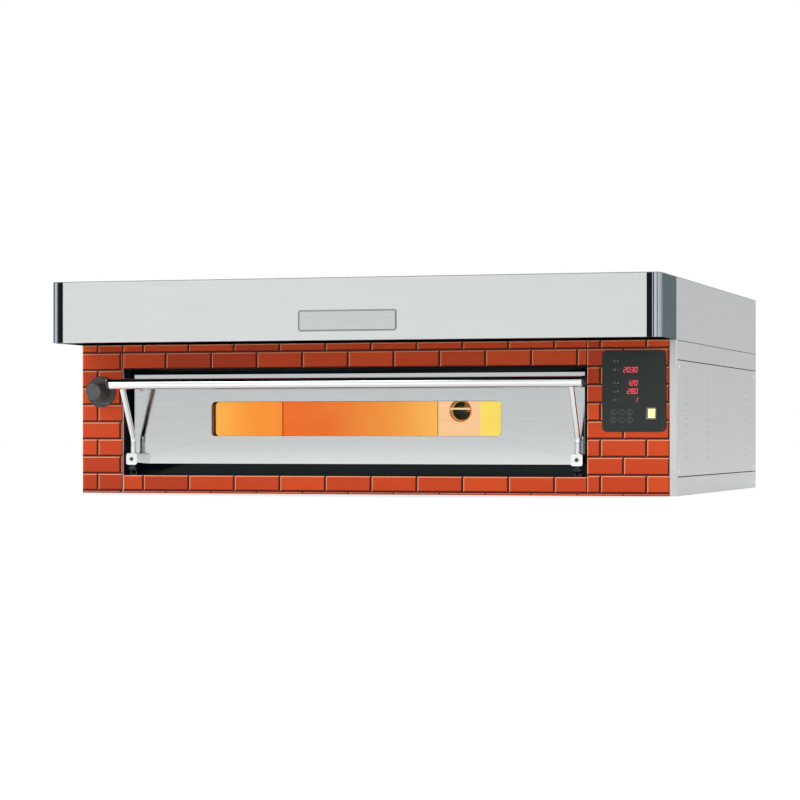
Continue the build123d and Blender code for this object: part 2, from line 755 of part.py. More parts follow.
def window_block(grow, y0, y1):
    """Block of the window's outline, enlarged by grow, with rounded corners."""
    return rounded_block(window_left - grow, window_right + grow, y0, y1,
                         window_bottom - grow, window_top + grow, WINDOW_CORNER + grow)


def door_panel():
    """Outer pan of the door, with a folded reveal round the window."""
    pan = block(door_left, door_right, door_face, door_back - SHEET, door_bottom, door_top)
    pan -= block(door_left + SHEET, door_right - SHEET, door_face + SHEET, door_back - SHEET,
                 door_bottom + SHEET, door_top - SHEET)
    pan += window_block(SHEET, door_face + SHEET, glass_front)
    return pan - window_block(0, door_face, glass_front)


def door_liner():
    """Inner sheet of the door."""
    sheet = block(door_left, door_right, door_back - SHEET, door_back, door_bottom, door_top)
    return sheet - window_block(0, door_back - SHEET, door_back)


def door_core():
    """Insulation between the two sheets, cut out round the glass."""
    gap = INSULATION_GAP
    y0 = door_face + SHEET + gap
    y1 = door_back - SHEET - gap
    core = block(door_left + SHEET + gap, door_right - SHEET - gap, y0, y1,
                 door_bottom + SHEET + gap, door_top - SHEET - gap)
    return core - window_block(GLASS_MARGIN + gap, y0, y1)


def door_glass():
    """Two panes: one behind the reveal, one against the inner sheet."""
    inner_front = door_back - SHEET - GLASS_THICKNESS
    return [window_block(GLASS_MARGIN, glass_front, glass_front + GLASS_THICKNESS),
            window_block(GLASS_MARGIN, inner_front, inner_front + GLASS_THICKNESS)]


def pivot_block(x):
    """Block on the door face with a lug that turns on the hinge pin."""
    half = BLOCK_SIZE / 2
    body = block(x - half, x + half, front - BLOCK_FRONT, door_face, block_bottom, block_top)
    body = fillet(body.edges().filter_by(Axis.Y), BLOCK_CORNER)
    lug_start = (x - LUG_WIDTH / 2, hinge_y, hinge_z)
    body += rod(lug_start, (1, 0, 0), LUG_RADIUS, LUG_WIDTH)
    body += block(x - LUG_WIDTH / 2, x + LUG_WIDTH / 2, hinge_y - LUG_RADIUS,
                  hinge_y + LUG_RADIUS, hinge_z, block_bottom)
    body -= rod(lug_start, (1, 0, 0), PIN_RADIUS + PIN_RUNNING, LUG_WIDTH)
    screw = rod((x, front - BLOCK_FRONT, block_bottom + half), (0, 1, 0), BLOCK_SCREW_RADIUS,
                BLOCK_SCREW_DEPTH)
    return body - screw


def hinge_bracket(x):
    """Two ears on a foot that stands on the sill."""
    inner = LUG_WIDTH / 2 + EAR_GAP
    outer = inner + EAR_THICKNESS
    foot_top = opening_bottom + BRACKET_BASE
    y0 = hinge_y - LUG_RADIUS
    bracket = block(x - outer, x + outer, behind_facing, y0 + BRACKET_LENGTH + FACING,
                    opening_bottom, foot_top)
    for x0 in (x - outer, x + inner):
        start = (x0, hinge_y, hinge_z)
        ear = rod(start, (1, 0, 0), LUG_RADIUS, EAR_THICKNESS)
        ear += block(x0, x0 + EAR_THICKNESS, hinge_y, behind_facing + LUG_RADIUS,
                     opening_bottom, hinge_z)
        bracket += ear - rod(start, (1, 0, 0), PIN_RADIUS + PIN_SEAT, EAR_THICKNESS)
    return bracket


def hinge_pin(x):
    """Pin through both ears and the lug."""
    half = LUG_WIDTH / 2 + EAR_GAP + EAR_THICKNESS + PIN_OVERHANG
    return rod((x - half, hinge_y, hinge_z), (1, 0, 0), PIN_RADIUS, 2 * half)


def handle_arm(x):
    """Bent rod from the pivot block up and forward to the bar."""
    y0 = front + ARM_DEPTH
    path = FilletPolyline((x, y0, block_top), (x, y0, block_top + ARM_RISE), (x, bar_y, bar_z),
                          radius=ARM_BEND)
    arm = sweep(Plane((x, y0, block_top), z_dir=(0, 0, 1)) * Circle(ARM_RADIUS), path=path)
    bar_start = (x - 2 * BAR_RADIUS, bar_y, bar_z)
    return arm - rod(bar_start, (1, 0, 0), BAR_RADIUS, 4 * BAR_RADIUS)


def handle_bar():
    """Tube across the whole door."""
    length = bar_right - bar_left
    tube = rod((bar_left, bar_y, bar_z), (1, 0, 0), BAR_RADIUS, length)
    return tube - rod((bar_left, bar_y, bar_z), (1, 0, 0), BAR_RADIUS - BAR_WALL, length)


def bar_end_cap(x, outward):
    """Domed cap with a plug in the tube's end."""
    dome = rod((x, bar_y, bar_z), (outward, 0, 0), CAP_RADIUS, CAP_LENGTH)
    tip = dome.faces().sort_by(Axis.X)[-1 if outward > 0 else 0]
    dome = fillet(tip.edges(), CAP_LENGTH - BAR_WALL)
    plug = rod((x, bar_y, bar_z), (-outward, 0, 0), BAR_RADIUS - BAR_WALL, CAP_PLUG)
    return dome + plug


# Hood

def hood_top():
    """Roof of the hood, with rounded front corners and the hole of the flue."""
    roof = block(left, right, hood_front, back, hood_wall_top, hood_top_z)
    corners = roof.edges().filter_by(Axis.Z).sort_by(Axis.Y)[:2]
    roof = fillet(corners, HOOD_CORNER)
    return roof - rod((0, flue_y, hood_wall_top), (0, 0, 1), FLUE_RADIUS - SHEET, SHEET)


def hood_sides():
    """A short plate in front of the body and a long one above it, on each side."""
    short = block(right - SHEET, right, hood_front + HOOD_CORNER, front,
                  BODY_HEIGHT, hood_wall_top)
    long = block(right - SHEET, right, front, back, BODY_HEIGHT, hood_wall_top)
    return mirrored(short) + mirrored(long)


def hood_corners():
    """Quarter-round profiles at the two front corners."""
    x = right - HOOD_CORNER
    y = hood_front + HOOD_CORNER
    start = (x, y, BODY_HEIGHT)
    height = hood_wall_top - BODY_HEIGHT
    profile = rod(start, (0, 0, 1), HOOD_CORNER, height)
    profile -= rod(start, (0, 0, 1), HOOD_CORNER - SHEET, height)
    profile &= block(x, right, hood_front, y, BODY_HEIGHT, hood_wall_top)
    return mirrored(profile)


def hood_fascia():
    """Front of the hood, with a lip folded in at its lower edge."""
    x1 = right - HOOD_CORNER
    face = block(-x1, x1, hood_front, hood_front + SHEET, BODY_HEIGHT, hood_wall_top)
    lip = block(-x1, x1, hood_front + SHEET, hood_front + SHEET + HOOD_LIP,
                BODY_HEIGHT, BODY_HEIGHT + SHEET)
    return face + lip


def hood_back():
    """Rear of the hood, between its sides."""
    return block(left + SHEET, right - SHEET, back - SHEET, back, BODY_HEIGHT, hood_wall_top)


def flue_collar():
    """Spigot for a round flue pipe."""
    start = (0, flue_y, hood_wall_top)
    length = FLUE_HEIGHT + SHEET
    collar = rod(start, (0, 0, 1), FLUE_RADIUS, length)
    collar -= rod(start, (0, 0, 1), FLUE_RADIUS - SHEET, length)
    return collar - hood_top()


def name_plate():
    """Blank plate on the fascia."""
    z0 = BODY_HEIGHT + PLATE_LIFT - PLATE_HEIGHT / 2
    x0 = PLATE_OFFSET - PLATE_WIDTH / 2
    return rounded_block(x0, x0 + PLATE_WIDTH, hood_front - PLATE_THICKNESS, hood_front,
                         z0, z0 + PLATE_HEIGHT, PLATE_CORNER)


def build():
    """Every node by name: one solid, or a list of separate solids."""
    nodes = {
        "base_pan": base_pan(),
        "side_panels": side_panels(),
        "side_bands": side_bands(),
        "panel_screws": panel_screws(),
        "back_panel": back_panel(),
        "top_cover": top_cover(),
        "corner_posts": corner_posts(),
        "cable_gland": gland(),
        "brick_panel_left": brick_panel_left(),
        "brick_panel_right": brick_panel_right(),
        "brick_strip_top": brick_strip(opening_top, BODY_HEIGHT),
        "brick_strip_bottom": brick_strip(0, BOTTOM_STRIP),
        "corner_trim": corner_trim(),
        "door_surround": door_surround(),
        "mouth_frame": mouth_frame(),
        "door_gasket": door_gasket(),
        "chamber_shell": chamber_shell(),
        "deck_stones": deck_stones(),
        "stone_supports": stone_supports(),
        "bottom_elements": elements(lower_element_z),
        "top_elements": elements(upper_element_z),
        "insulation": insulation(),
        "lamp_bezel": lamp_bezel(),
        "lamp_glass": lamp_glass(),
        "lamp_housing": lamp_housing(),
        "lamp_bulb": lamp_bulb(),
        "temperature_probe": temperature_probe(),
        "vapour_duct": vapour_duct(),
        "damper_vane": damper_vane(),
        "damper_dial": damper_dial(),
        "damper_knob": damper_knob(),
        "control_overlay": overlay(),
        "switch_bezel": switch_bezel(),
        "light_switch": light_switch(),
        "control_board": control_board(),
        "contactors": contactors(),
        "terminal_block": terminal_block(),
        "door_panel": door_panel(),
        "door_liner": door_liner(),
        "door_core": door_core(),
        "door_glass": door_glass(),
        "pivot_blocks": [pivot_block(x) for x in block_places],
        "hinge_brackets": [hinge_bracket(x) for x in block_places],
        "hinge_pins": [hinge_pin(x) for x in block_places],
        "handle_arms": [handle_arm(x) for x in block_places],
        "handle_bar": handle_bar(),
        "bar_end_caps": [bar_end_cap(bar_left, -1), bar_end_cap(bar_right, 1)],
        "hood_top": hood_top(),
        "hood_sides": hood_sides(),
        "hood_corners": hood_corners(),
        "hood_fascia": hood_fascia(),
        "hood_back": hood_back(),
        "flue_collar": flue_collar(),
        "name_plate": name_plate(),
    }
    for number, (x, z) in enumerate(key_places, start=1):
        nodes[f"key_{number}"] = key(x, z)
    return nodes


def single_shape(item):
    """One shape of a node's solid or solids."""
    return Compound(children=[piece for piece in item]) if isinstance(item, list) else item


os.makedirs("parts", exist_ok=True)
for node, item in build().items():
    export_step(single_shape(item), f"parts/{node}.step")
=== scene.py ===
import json
import math
import random

import bmesh
import bpy
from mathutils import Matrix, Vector

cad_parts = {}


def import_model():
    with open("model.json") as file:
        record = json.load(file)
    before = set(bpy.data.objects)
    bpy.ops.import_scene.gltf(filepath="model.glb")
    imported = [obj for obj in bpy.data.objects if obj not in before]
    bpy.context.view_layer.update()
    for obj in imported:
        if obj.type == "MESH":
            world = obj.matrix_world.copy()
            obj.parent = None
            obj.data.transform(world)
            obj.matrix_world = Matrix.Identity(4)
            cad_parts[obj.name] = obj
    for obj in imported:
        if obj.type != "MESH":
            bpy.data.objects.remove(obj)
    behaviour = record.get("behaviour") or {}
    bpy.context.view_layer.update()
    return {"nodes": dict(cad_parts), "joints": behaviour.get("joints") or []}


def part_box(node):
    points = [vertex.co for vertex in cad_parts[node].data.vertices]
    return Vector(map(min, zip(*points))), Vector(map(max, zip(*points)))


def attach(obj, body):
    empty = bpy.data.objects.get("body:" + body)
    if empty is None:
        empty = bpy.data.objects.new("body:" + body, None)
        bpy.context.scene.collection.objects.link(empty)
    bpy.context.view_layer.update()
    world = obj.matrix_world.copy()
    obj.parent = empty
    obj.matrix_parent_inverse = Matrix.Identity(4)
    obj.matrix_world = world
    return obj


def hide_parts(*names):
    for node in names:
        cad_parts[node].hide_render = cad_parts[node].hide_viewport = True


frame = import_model()
nodes = frame["nodes"]

MM = 0.001
random.seed(7)


# ---- shader helpers

class Nodes:
    """Short calls that build the nodes of one tree."""

    def __init__(self, tree):
        self.tree = tree

    def add(self, kind, inputs=(), **settings):
        """New node; inputs maps a socket's name or number to a value or to another output."""
        node = self.tree.nodes.new(kind)
        for key, value in settings.items():
            setattr(node, key, value)
        for socket, value in dict(inputs).items():
            self.fill(node.inputs[socket], value)
        return node

    def link(self, output, target):
        self.tree.links.new(output, target)

    def fill(self, socket, value):
        if isinstance(value, bpy.types.NodeSocket):
            self.link(value, socket)
        else:
            socket.default_value = (*value, 1) if socket.type == "RGBA" else value

    def math(self, operation, first, second=0.0, clamp=False):
        return self.add("ShaderNodeMath", {0: first, 1: second}, operation=operation,
                        use_clamp=clamp).outputs["Value"]

    def ramp(self, factor, stops):
        node = self.add("ShaderNodeValToRGB", {"Fac": factor})
        elements = node.color_ramp.elements
        while len(elements) < len(stops):
            elements.new(0.5)
        for element, (position, color) in zip(elements, stops):
            element.position = position
            element.color = (*color, 1)
        return node.outputs["Color"]


class Shader(Nodes):
    """A material with a Principled shader, whose sockets are called by name."""

    def __init__(self, name, color, roughness, metallic=0.0):
        self.material = bpy.data.materials.new(name)
        self.material.use_nodes = True
        super().__init__(self.material.node_tree)
        self.bsdf = self.tree.nodes["Principled BSDF"]
        self.set("Base Color", (*color, 1))
        self.set("Roughness", roughness)
        self.set("Metallic", metallic)
        self.coordinates = self.add("ShaderNodeTexCoord").outputs["Object"]

    def set(self, socket, value):
        self.bsdf.inputs[socket].default_value = value

    def link(self, output, target):
        super().link(output, self.bsdf.inputs[target] if isinstance(target, str) else target)

    def stretched(self, stretch):
        return self.add("ShaderNodeMapping", {"Vector": self.coordinates,
                                              "Scale": stretch}).outputs["Vector"]

    def noise(self, scale, detail, stretch=(1, 1, 1), rough=0.5):
        return self.add("ShaderNodeTexNoise", {
            "Vector": self.stretched(stretch), "Scale": scale, "Detail": detail,
            "Roughness": rough}).outputs["Fac"]

    def cells(self, scale, stretch=(1, 1, 1)):
        return self.add("ShaderNodeTexVoronoi", {"Vector": self.stretched(stretch),
                                                 "Scale": scale}).outputs["Distance"]

    def map_range(self, value, low, high, new_low=0.0, new_high=1.0):
        return self.add("ShaderNodeMapRange", {
            "Value": value, "From Min": low, "From Max": high,
            "To Min": new_low, "To Max": new_high}).outputs["Result"]

    def spread(self, factor, low, high):
        """Maps a 0.3 to 0.7 noise to the range low to high."""
        return self.map_range(factor, 0.3, 0.7, low, high)

    def axis_value(self, axis, low, high):
        """0 to 1 along one axis of the object, between two places in metres."""
        split = self.add("ShaderNodeSeparateXYZ", {"Vector": self.coordinates})
        return self.map_range(split.outputs[axis], low, high)

    def mix(self, factor, first, second):
        node = self.add("ShaderNodeMix", data_type="RGBA")
        for socket, value in (("Factor", factor), ("A", first), ("B", second)):
            self.fill(next(s for s in node.inputs if s.name == socket and s.enabled), value)
        return next(s for s in node.outputs if s.enabled)

    def tint(self, factor, low, high, first, second):
        """Base colour that goes from first to second with a noise."""
        self.link(self.mix(self.spread(factor, low, high), first, second), "Base Color")

    def bump(self, height, distance, strength, below=None):
        node = self.add("ShaderNodeBump", {"Height": height, "Strength": strength,
                                           "Distance": distance})
        if below is not None:
            self.link(below, node.inputs["Normal"])
        return node.outputs["Normal"]


def steel(name, color, roughness, grain, wave=0.4, smudge=0.03):
    """Brushed or polished sheet: fine grain along one axis, faint waviness and handling marks."""
    s = Shader(name, color, roughness, 1.0)
    lines = s.noise(1.0, 4.0, tuple(2600 if g else 9 for g in grain), 0.6)
    patches = s.noise(5.0, 3.0)
    tone = s.mix(s.spread(lines, 0.0, 1.0), tuple(c * 0.93 for c in color), color)
    s.tint(patches, 0.0, smudge * 3, tone, tuple(c * 0.86 for c in color))
    s.link(s.math("ADD", s.spread(lines, roughness * 0.8, roughness * 1.2),
                  s.spread(patches, 0.0, smudge)), "Roughness")
    waves = s.bump(s.noise(2.2, 1.0), 0.0016, wave)
    s.link(s.bump(lines, 0.00002, 0.5, waves), "Normal")
    return s.material


def plastic(name, color, roughness, texture=0.00004, scale=1800.0, coat=0.0, specular=0.5):
    """Moulded or printed plastic with a fine spark-eroded texture and slight tone changes."""
    s = Shader(name, color, roughness)
    patches = s.noise(30.0, 4.0)
    s.tint(patches, 0.0, 0.5, color, tuple(c * 1.35 + 0.002 for c in color))
    s.link(s.spread(patches, roughness * 0.85, roughness * 1.15), "Roughness")
    s.link(s.bump(s.noise(scale, 2.0), texture, 0.6), "Normal")
    s.set("Coat Weight", coat)
    s.set("Specular IOR Level", specular)
    return s.material


def glow(name, color, strength):
    """Lit lamp, display segment or lens."""
    s = Shader(name, color, 0.35)
    patches = s.noise(400.0, 2.0)
    tint = s.mix(s.spread(patches, 0.0, 0.25), color, tuple(c * 0.6 for c in color))
    s.link(tint, "Base Color")
    s.link(tint, "Emission Color")
    s.set("Emission Strength", strength)
    return s.material


# ---- materials

def brick_material():
    """Glazed brick: each brick's own tone and mottling; the upper and left chamfers carry a painted
    highlight, the lower and right ones painted shade.
    """
    s = Shader("brick_glaze", (0.55, 0.1, 0.03), 0.42)
    tone = s.add("ShaderNodeAttribute", attribute_name="tone").outputs["Fac"]
    edge = s.add("ShaderNodeAttribute", attribute_name="edge").outputs["Fac"]
    face = s.ramp(tone, [(0.0, (0.44, 0.033, 0.009)), (0.35, (0.56, 0.048, 0.009)),
                         (0.7, (0.62, 0.056, 0.009)), (1.0, (0.68, 0.070, 0.010))])
    mottling = s.noise(55.0, 6.0, (1, 1, 1.6), 0.65)
    face = s.mix(s.spread(mottling, 0.0, 0.30), face, (0.36, 0.045, 0.012))
    grit = s.noise(420.0, 3.0)
    face = s.mix(s.spread(grit, 0.0, 0.12), face, (0.74, 0.20, 0.07))
    # Chamfer colours: pale for the painted highlight on upper and left chamfers, dark red for the
    # painted shade on lower and right ones.
    sides = s.ramp(edge, [(0.0, (0.10, 0.008, 0.004)), (0.40, (0.13, 0.010, 0.004)),
                          (0.5, (0.5, 0.07, 0.02)), (0.62, (0.84, 0.25, 0.12)),
                          (1.0, (0.88, 0.31, 0.16))])
    painted_bevel_weight = s.math("ABSOLUTE", s.math("SUBTRACT", edge, 0.5))
    s.link(s.mix(s.math("MULTIPLY", painted_bevel_weight, 2.2, clamp=True), face, sides), "Base Color")
    s.link(s.spread(mottling, 0.36, 0.52), "Roughness")
    rough_face = s.bump(mottling, 0.0006, 0.5)
    s.link(s.bump(grit, 0.00012, 0.6, rough_face), "Normal")
    s.set("Specular IOR Level", 0.14)
    return s.material


def joint_material():
    """Dark red ground between the bricks; the darkness is painted shade of the recessed joints."""
    s = Shader("brick_joint", (0.075, 0.008, 0.005), 0.75)
    grains = s.noise(700.0, 4.0)
    s.tint(grains, 0.0, 0.7, (0.055, 0.005, 0.003), (0.13, 0.016, 0.008))
    s.link(s.bump(grains, 0.0002, 0.6), "Normal")
    return s.material


def enamel_material():
    """Black enamel of the door opening, tinted blue-green as a painted reflection; also used for
    the painted shade inside the hood.
    """
    s = Shader("dark_enamel_and_hood_shade", (0.004, 0.012, 0.016), 0.22)
    patches = s.noise(14.0, 4.0)
    s.tint(patches, 0.0, 1.0, (0.003, 0.012, 0.014), (0.008, 0.024, 0.027))
    s.set("Specular IOR Level", 0.16)
    s.link(s.spread(patches, 0.18, 0.30), "Roughness")
    s.link(s.bump(s.noise(900.0, 2.0), 0.00003, 0.5), "Normal")
    return s.material


def painted_glow_wall_material(name, stops, low, high, strength, axis):
    """Chamber sheet with a painted glow: its emissive colour runs from one side to the other, with
    streaks.
    """
    s = Shader(name, (0.8, 0.4, 0.1), 0.45, 0.0)
    run = s.ramp(s.axis_value(axis, low, high), stops)
    streaks = s.noise(1.0, 4.0, (7, 7, 260), 0.7)
    blotches = s.noise(9.0, 4.0)
    run = s.mix(s.spread(streaks, 0.0, 0.22), run, (0.75, 0.16, 0.02))
    run = s.mix(s.spread(blotches, 0.0, 0.20), run, (1.0, 0.52, 0.12))
    s.link(s.mix(0.8, run, (0.05, 0.02, 0.01)), "Base Color")
    # The emission is the painted glow: the sheet lights itself in place of the light inside the
    # chamber.
    s.link(run, "Emission Color")
    s.set("Emission Strength", strength)
    s.link(s.bump(streaks, 0.00015, 0.5), "Normal")
    return s.material


def stone_material():
    """Fireclay slab with pores and faint scorch marks."""
    s = Shader("fireclay", (0.55, 0.42, 0.27), 0.85)
    grains = s.noise(260.0, 6.0, rough=0.7)
    scorch = s.noise(7.0, 4.0)
    clay = s.mix(s.spread(grains, 0.0, 1.0), (0.50, 0.37, 0.23), (0.66, 0.53, 0.37))
    s.tint(scorch, 0.0, 0.5, clay, (0.30, 0.19, 0.10))
    pores = s.cells(900.0)
    s.link(s.bump(grains, 0.0004, 0.6, s.bump(pores, 0.0003, 0.3)), "Normal")
    return s.material


def braid_material():
    """Woven glass-fibre seal."""
    s = Shader("seal_braid", (0.30, 0.28, 0.25), 0.9)
    weave = s.add("ShaderNodeTexWave", {"Vector": s.coordinates, "Scale": 420.0},
                  wave_type="BANDS", bands_direction="DIAGONAL").outputs["Fac"]
    s.link(s.mix(weave, (0.16, 0.15, 0.13), (0.42, 0.40, 0.36)), "Base Color")
    s.link(s.bump(weave, 0.0006, 0.8), "Normal")
    return s.material


def wool_material():
    """Mineral wool."""
    s = Shader("mineral_wool", (0.45, 0.40, 0.22), 0.95)
    fibres = s.noise(300.0, 6.0, (1, 1, 5), 0.75)
    s.tint(fibres, 0.0, 1.0, (0.36, 0.31, 0.15), (0.60, 0.55, 0.33))
    s.link(s.bump(fibres, 0.002, 0.8), "Normal")
    return s.material


def glass_material():
    """Clear pane with faint haze; a low index keeps mirrored light off the view inside."""
    s = Shader("oven_glass", (0.985, 0.985, 0.97), 0.0)
    s.link(s.spread(s.noise(6.0, 3.0), 0.0, 0.03), "Roughness")
    s.set("Transmission Weight", 1.0)
    s.set("IOR", 1.06)
    return s.material


def board_material():
    """Circuit board with tracks."""
    s = Shader("circuit_board", (0.01, 0.12, 0.04), 0.4)
    tracks = s.cells(160.0, (1, 1, 0.3))
    s.tint(tracks, 0.0, 1.0, (0.008, 0.09, 0.03), (0.03, 0.22, 0.08))
    s.link(s.bump(tracks, 0.0001, 0.5), "Normal")
    return s.material


M = {
    "fascia": steel("hood_satin", (0.66, 0.69, 0.68), 0.34, (0, 0, 1)),
    # Dark blue-grey of the side sheets in front of the body: a painted reflection.
    "hood_side_painted_reflection": plastic("hood_side_painted_reflection", (0.068, 0.100, 0.107), 0.5, specular=0.03),
    "casing": steel("casing_satin", (0.52, 0.54, 0.53), 0.36, (0, 0, 1)),
    "trim": steel("trim_satin", (0.66, 0.66, 0.635), 0.5, (1, 0, 0)),
    "flute": steel("flute_polish", (0.60, 0.66, 0.69), 0.10, (1, 1, 0), 0.1, 0.02),
    "door": steel("door_mirror", (0.62, 0.64, 0.645), 0.085, (0, 0, 1), 0.22, 0.025),
    "chrome": steel("bright_chrome", (0.84, 0.86, 0.87), 0.06, (0, 1, 1), 0.05, 0.02),
    "zinc": steel("zinc_sheet", (0.42, 0.44, 0.45), 0.45, (0, 1, 0), 0.5, 0.08),
    "hot_steel": steel("heat_tinted_steel", (0.50, 0.36, 0.20), 0.35, (0, 0, 1), 0.5, 0.08),
    "sheath": steel("element_sheath", (0.10, 0.09, 0.085), 0.55, (1, 0, 1), 0.2, 0.1),
    "plate": steel("plate_satin", (0.58, 0.61, 0.60), 0.30, (0, 0, 1)),
    "plate_rim": steel("plate_rim", (0.30, 0.32, 0.33), 0.22, (0, 0, 1)),
    "brass": steel("lamp_brass", (0.80, 0.48, 0.14), 0.16, (1, 0, 1), 0.1),
    "black": plastic("black_plastic", (0.010, 0.010, 0.012), 0.32),
    "black_strip": plastic("black_strip", (0.003, 0.004, 0.005), 0.30, specular=0.06),
    "dial": plastic("dial_plastic", (0.036, 0.034, 0.031), 0.42, coat=0.1),
    "knob": plastic("knob_plastic", (0.055, 0.066, 0.062), 0.36, coat=0.15),
    "overlay": plastic("overlay_film", (0.019, 0.025, 0.022), 0.42, 0.00003, 2600.0, specular=0.22),
    "print": plastic("pale_print", (0.20, 0.215, 0.21), 0.5),
    "white_print": plastic("white_print", (0.70, 0.70, 0.68), 0.5),
    "display": plastic("display_window", (0.030, 0.004, 0.010), 0.18),
    "grey_plastic": plastic("grey_plastic", (0.30, 0.30, 0.29), 0.45),
    "rocker": glow("rocker_lit", (0.80, 0.86, 0.33), 0.55),
    "rocker_body": plastic("rocker_body", (0.14, 0.15, 0.12), 0.3),
    "digit": glow("display_digit", (1.0, 0.03, 0.06), 1.1),
    "lamp_green": glow("lamp_green", (0.02, 0.30, 0.18), 0.5),
    "lamp_off": plastic("lamp_off", (0.10, 0.13, 0.12), 0.3),
    "bulb": glow("bulb_glow", (1.0, 0.78, 0.42), 6.0),
    "brick": brick_material(),
    "joint": joint_material(),
    "enamel": enamel_material(),
    "stone": stone_material(),
    "braid": braid_material(),
    "wool": wool_material(),
    "glass": glass_material(),
    "lens": plastic("lamp_lens", (0.012, 0.075, 0.095), 0.20, specular=0.3),
    "lens_glint": plastic("lens_glint", (0.42, 0.50, 0.50), 0.25),
    "reveal": plastic("window_reveal", (0.17, 0.075, 0.05), 0.35),
    "seam_line": plastic("painted_seam_shade", (0.20, 0.055, 0.012), 0.6),
    "hinge": steel("hinge_black", (0.035, 0.045, 0.05), 0.18, (1, 0, 1)),
    "board": board_material(),
}

CAD_MATERIALS = {
    "casing": ("side_panels", "side_bands", "back_panel"),
    "trim": ("corner_trim",),
    "overlay": ("control_overlay",),
    "zinc": ("base_pan", "corner_posts", "stone_supports", "lamp_housing", "vapour_duct",
             "damper_vane"),
    "chrome": ("temperature_probe",),
    "hinge": ("hinge_pins", "hinge_brackets"),
    "enamel": ("door_surround", "mouth_frame"),
    "black": ("cable_gland", "switch_bezel"),
    "hot_steel": ("door_liner",),
    "sheath": ("bottom_elements", "top_elements"),
    "stone": ("deck_stones",),
    "braid": ("door_gasket",),
    "wool": ("insulation", "door_core"),
    "glass": ("door_glass",),
    "board": ("control_board",),
    "grey_plastic": ("contactors", "terminal_block"),
    "bulb": ("lamp_bulb",),
}


def paint(name, keys, choose=None):
    """Gives a CAD node its materials; choose(normal, centre) says which one a polygon gets."""
    mesh = nodes[name].data
    mesh.materials.clear()
    for key in keys:
        mesh.materials.append(M[key])
    if choose:
        for polygon in mesh.polygons:
            polygon.material_index = int(choose(polygon.normal, polygon.center))


for key, names in CAD_MATERIALS.items():
    for name in names:
        paint(name, (key,))


# ---- mesh helpers

def cosd(degrees):
    return math.cos(math.radians(degrees))


def sind(degrees):
    return math.sin(math.radians(degrees))


def measures(name):
    """Corners, centre, radius across X and depth along Y of a CAD node."""
    low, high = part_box(name)
    return low, high, (low + high) / 2, (high.x - low.x) / 2, high.y - low.y


def piece(name, bm, materials, body, replaced=(), angle=35.0):
    """Turns a bmesh into a shaded object that rides on a body and may replace CAD nodes."""
    mesh = bpy.data.meshes.new(name)
    bmesh.ops.recalc_face_normals(bm, faces=bm.faces)
    bm.to_mesh(mesh)
    bm.free()
    for material in materials:
        mesh.materials.append(M[material])
    for polygon in mesh.polygons:
        polygon.use_smooth = True
    mesh.set_sharp_from_angle(angle=math.radians(angle))
    obj = bpy.data.objects.new(name, mesh)
    bpy.context.scene.collection.objects.link(obj)
    obj.modifiers.new("normals", "WEIGHTED_NORMAL").keep_sharp = True
    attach(obj, body)
    if replaced:
        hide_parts(*replaced)


def add_box(bm, low, high, bevel=0.0, material=0):
    """Box between two corners, with rounded edges."""
    made = bmesh.ops.create_cube(bm, size=1)["verts"]
    low, high = Vector(low), Vector(high)
    size, centre = high - low, (low + high) / 2
    for vert in made:
        vert.co = Vector((vert.co.x * size.x, vert.co.y * size.y, vert.co.z * size.z)) + centre
    faces = {face for vert in made for face in vert.link_faces}
    if bevel:
        edges = list({edge for vert in made for edge in vert.link_edges})
        result = bmesh.ops.bevel(bm, geom=edges, offset=bevel, segments=2, profile=0.5,
                                 affect="EDGES")
        faces = {face for vert in result["verts"] for face in vert.link_faces} | {
            face for face in faces if face.is_valid}
    for face in faces:
        face.material_index = material


def add_loops(bm, loops, material=0, around=False):
    """Closed skin over successive loops of equally many points.

    It ends in flat caps, or, with around, the last loop joins the first."""
    rows = [[bm.verts.new(point) for point in loop] for loop in loops]
    faces = []
    for row, following in zip(rows, rows[1:] + rows[:1] if around else rows[1:]):
        for i in range(len(row)):
            j = (i + 1) % len(row)
            faces.append(bm.faces.new((row[i], row[j], following[j], following[i])))
    if not around:
        faces += [bm.faces.new(rows[0]), bm.faces.new(rows[-1])]
    for face in faces:
        face.material_index = material
    return faces


def add_relief(bm, outline, y, back, front, material=0):
    """Low relief on a face that looks along -Y; outline is a list of (x, z)."""
    loops = [[Vector((x, plane, z)) for x, z in outline] for plane in (y + back, y - front)]
    add_loops(bm, loops, material)


def rounded_loop(x0, x1, z0, z1, radius, y, steps=6):
    """Rounded rectangle in a plane of constant Y."""
    radius = max(radius, 1e-5)
    corners = ((x1 - radius, z1 - radius, 0), (x0 + radius, z1 - radius, 90),
               (x0 + radius, z0 + radius, 180), (x1 - radius, z0 + radius, 270))
    points = []
    for cx, cz, start in corners:
        for i in range(steps + 1):
            angle = math.radians(start + 90 * (i / steps if steps else 0.5))
            points.append(Vector((cx + radius * math.cos(angle), y,
                                  cz + radius * math.sin(angle))))
    return points


def grown(x0, x1, z0, z1, radius, y, grow, steps=6):
    """The same loop, grown outwards on all sides."""
    return rounded_loop(x0 - grow, x1 + grow, z0 - grow, z1 + grow, radius + grow, y, steps)


def circle(centre, radius, axis, along, steps=64):
    """Circle about an axis through centre, moved along that axis."""
    axis = Vector(axis).normalized()
    side = Vector((0, 0, 1)) if abs(axis.z) < 0.9 else Vector((1, 0, 0))
    u = axis.cross(side).normalized()
    v = axis.cross(u)
    middle = Vector(centre) + axis * along
    return [middle + (u * math.cos(a) + v * math.sin(a)) * radius
            for a in (2 * math.pi * i / steps for i in range(steps))]


def add_lathe(bm, profile, centre, axis, steps=64, material=0, around=False):
    """Turned part: profile is a list of (radius, distance along the axis)."""
    loops = [circle(centre, max(radius, 1e-6), axis, along, steps) for radius, along in profile]
    add_loops(bm, loops, material, around)


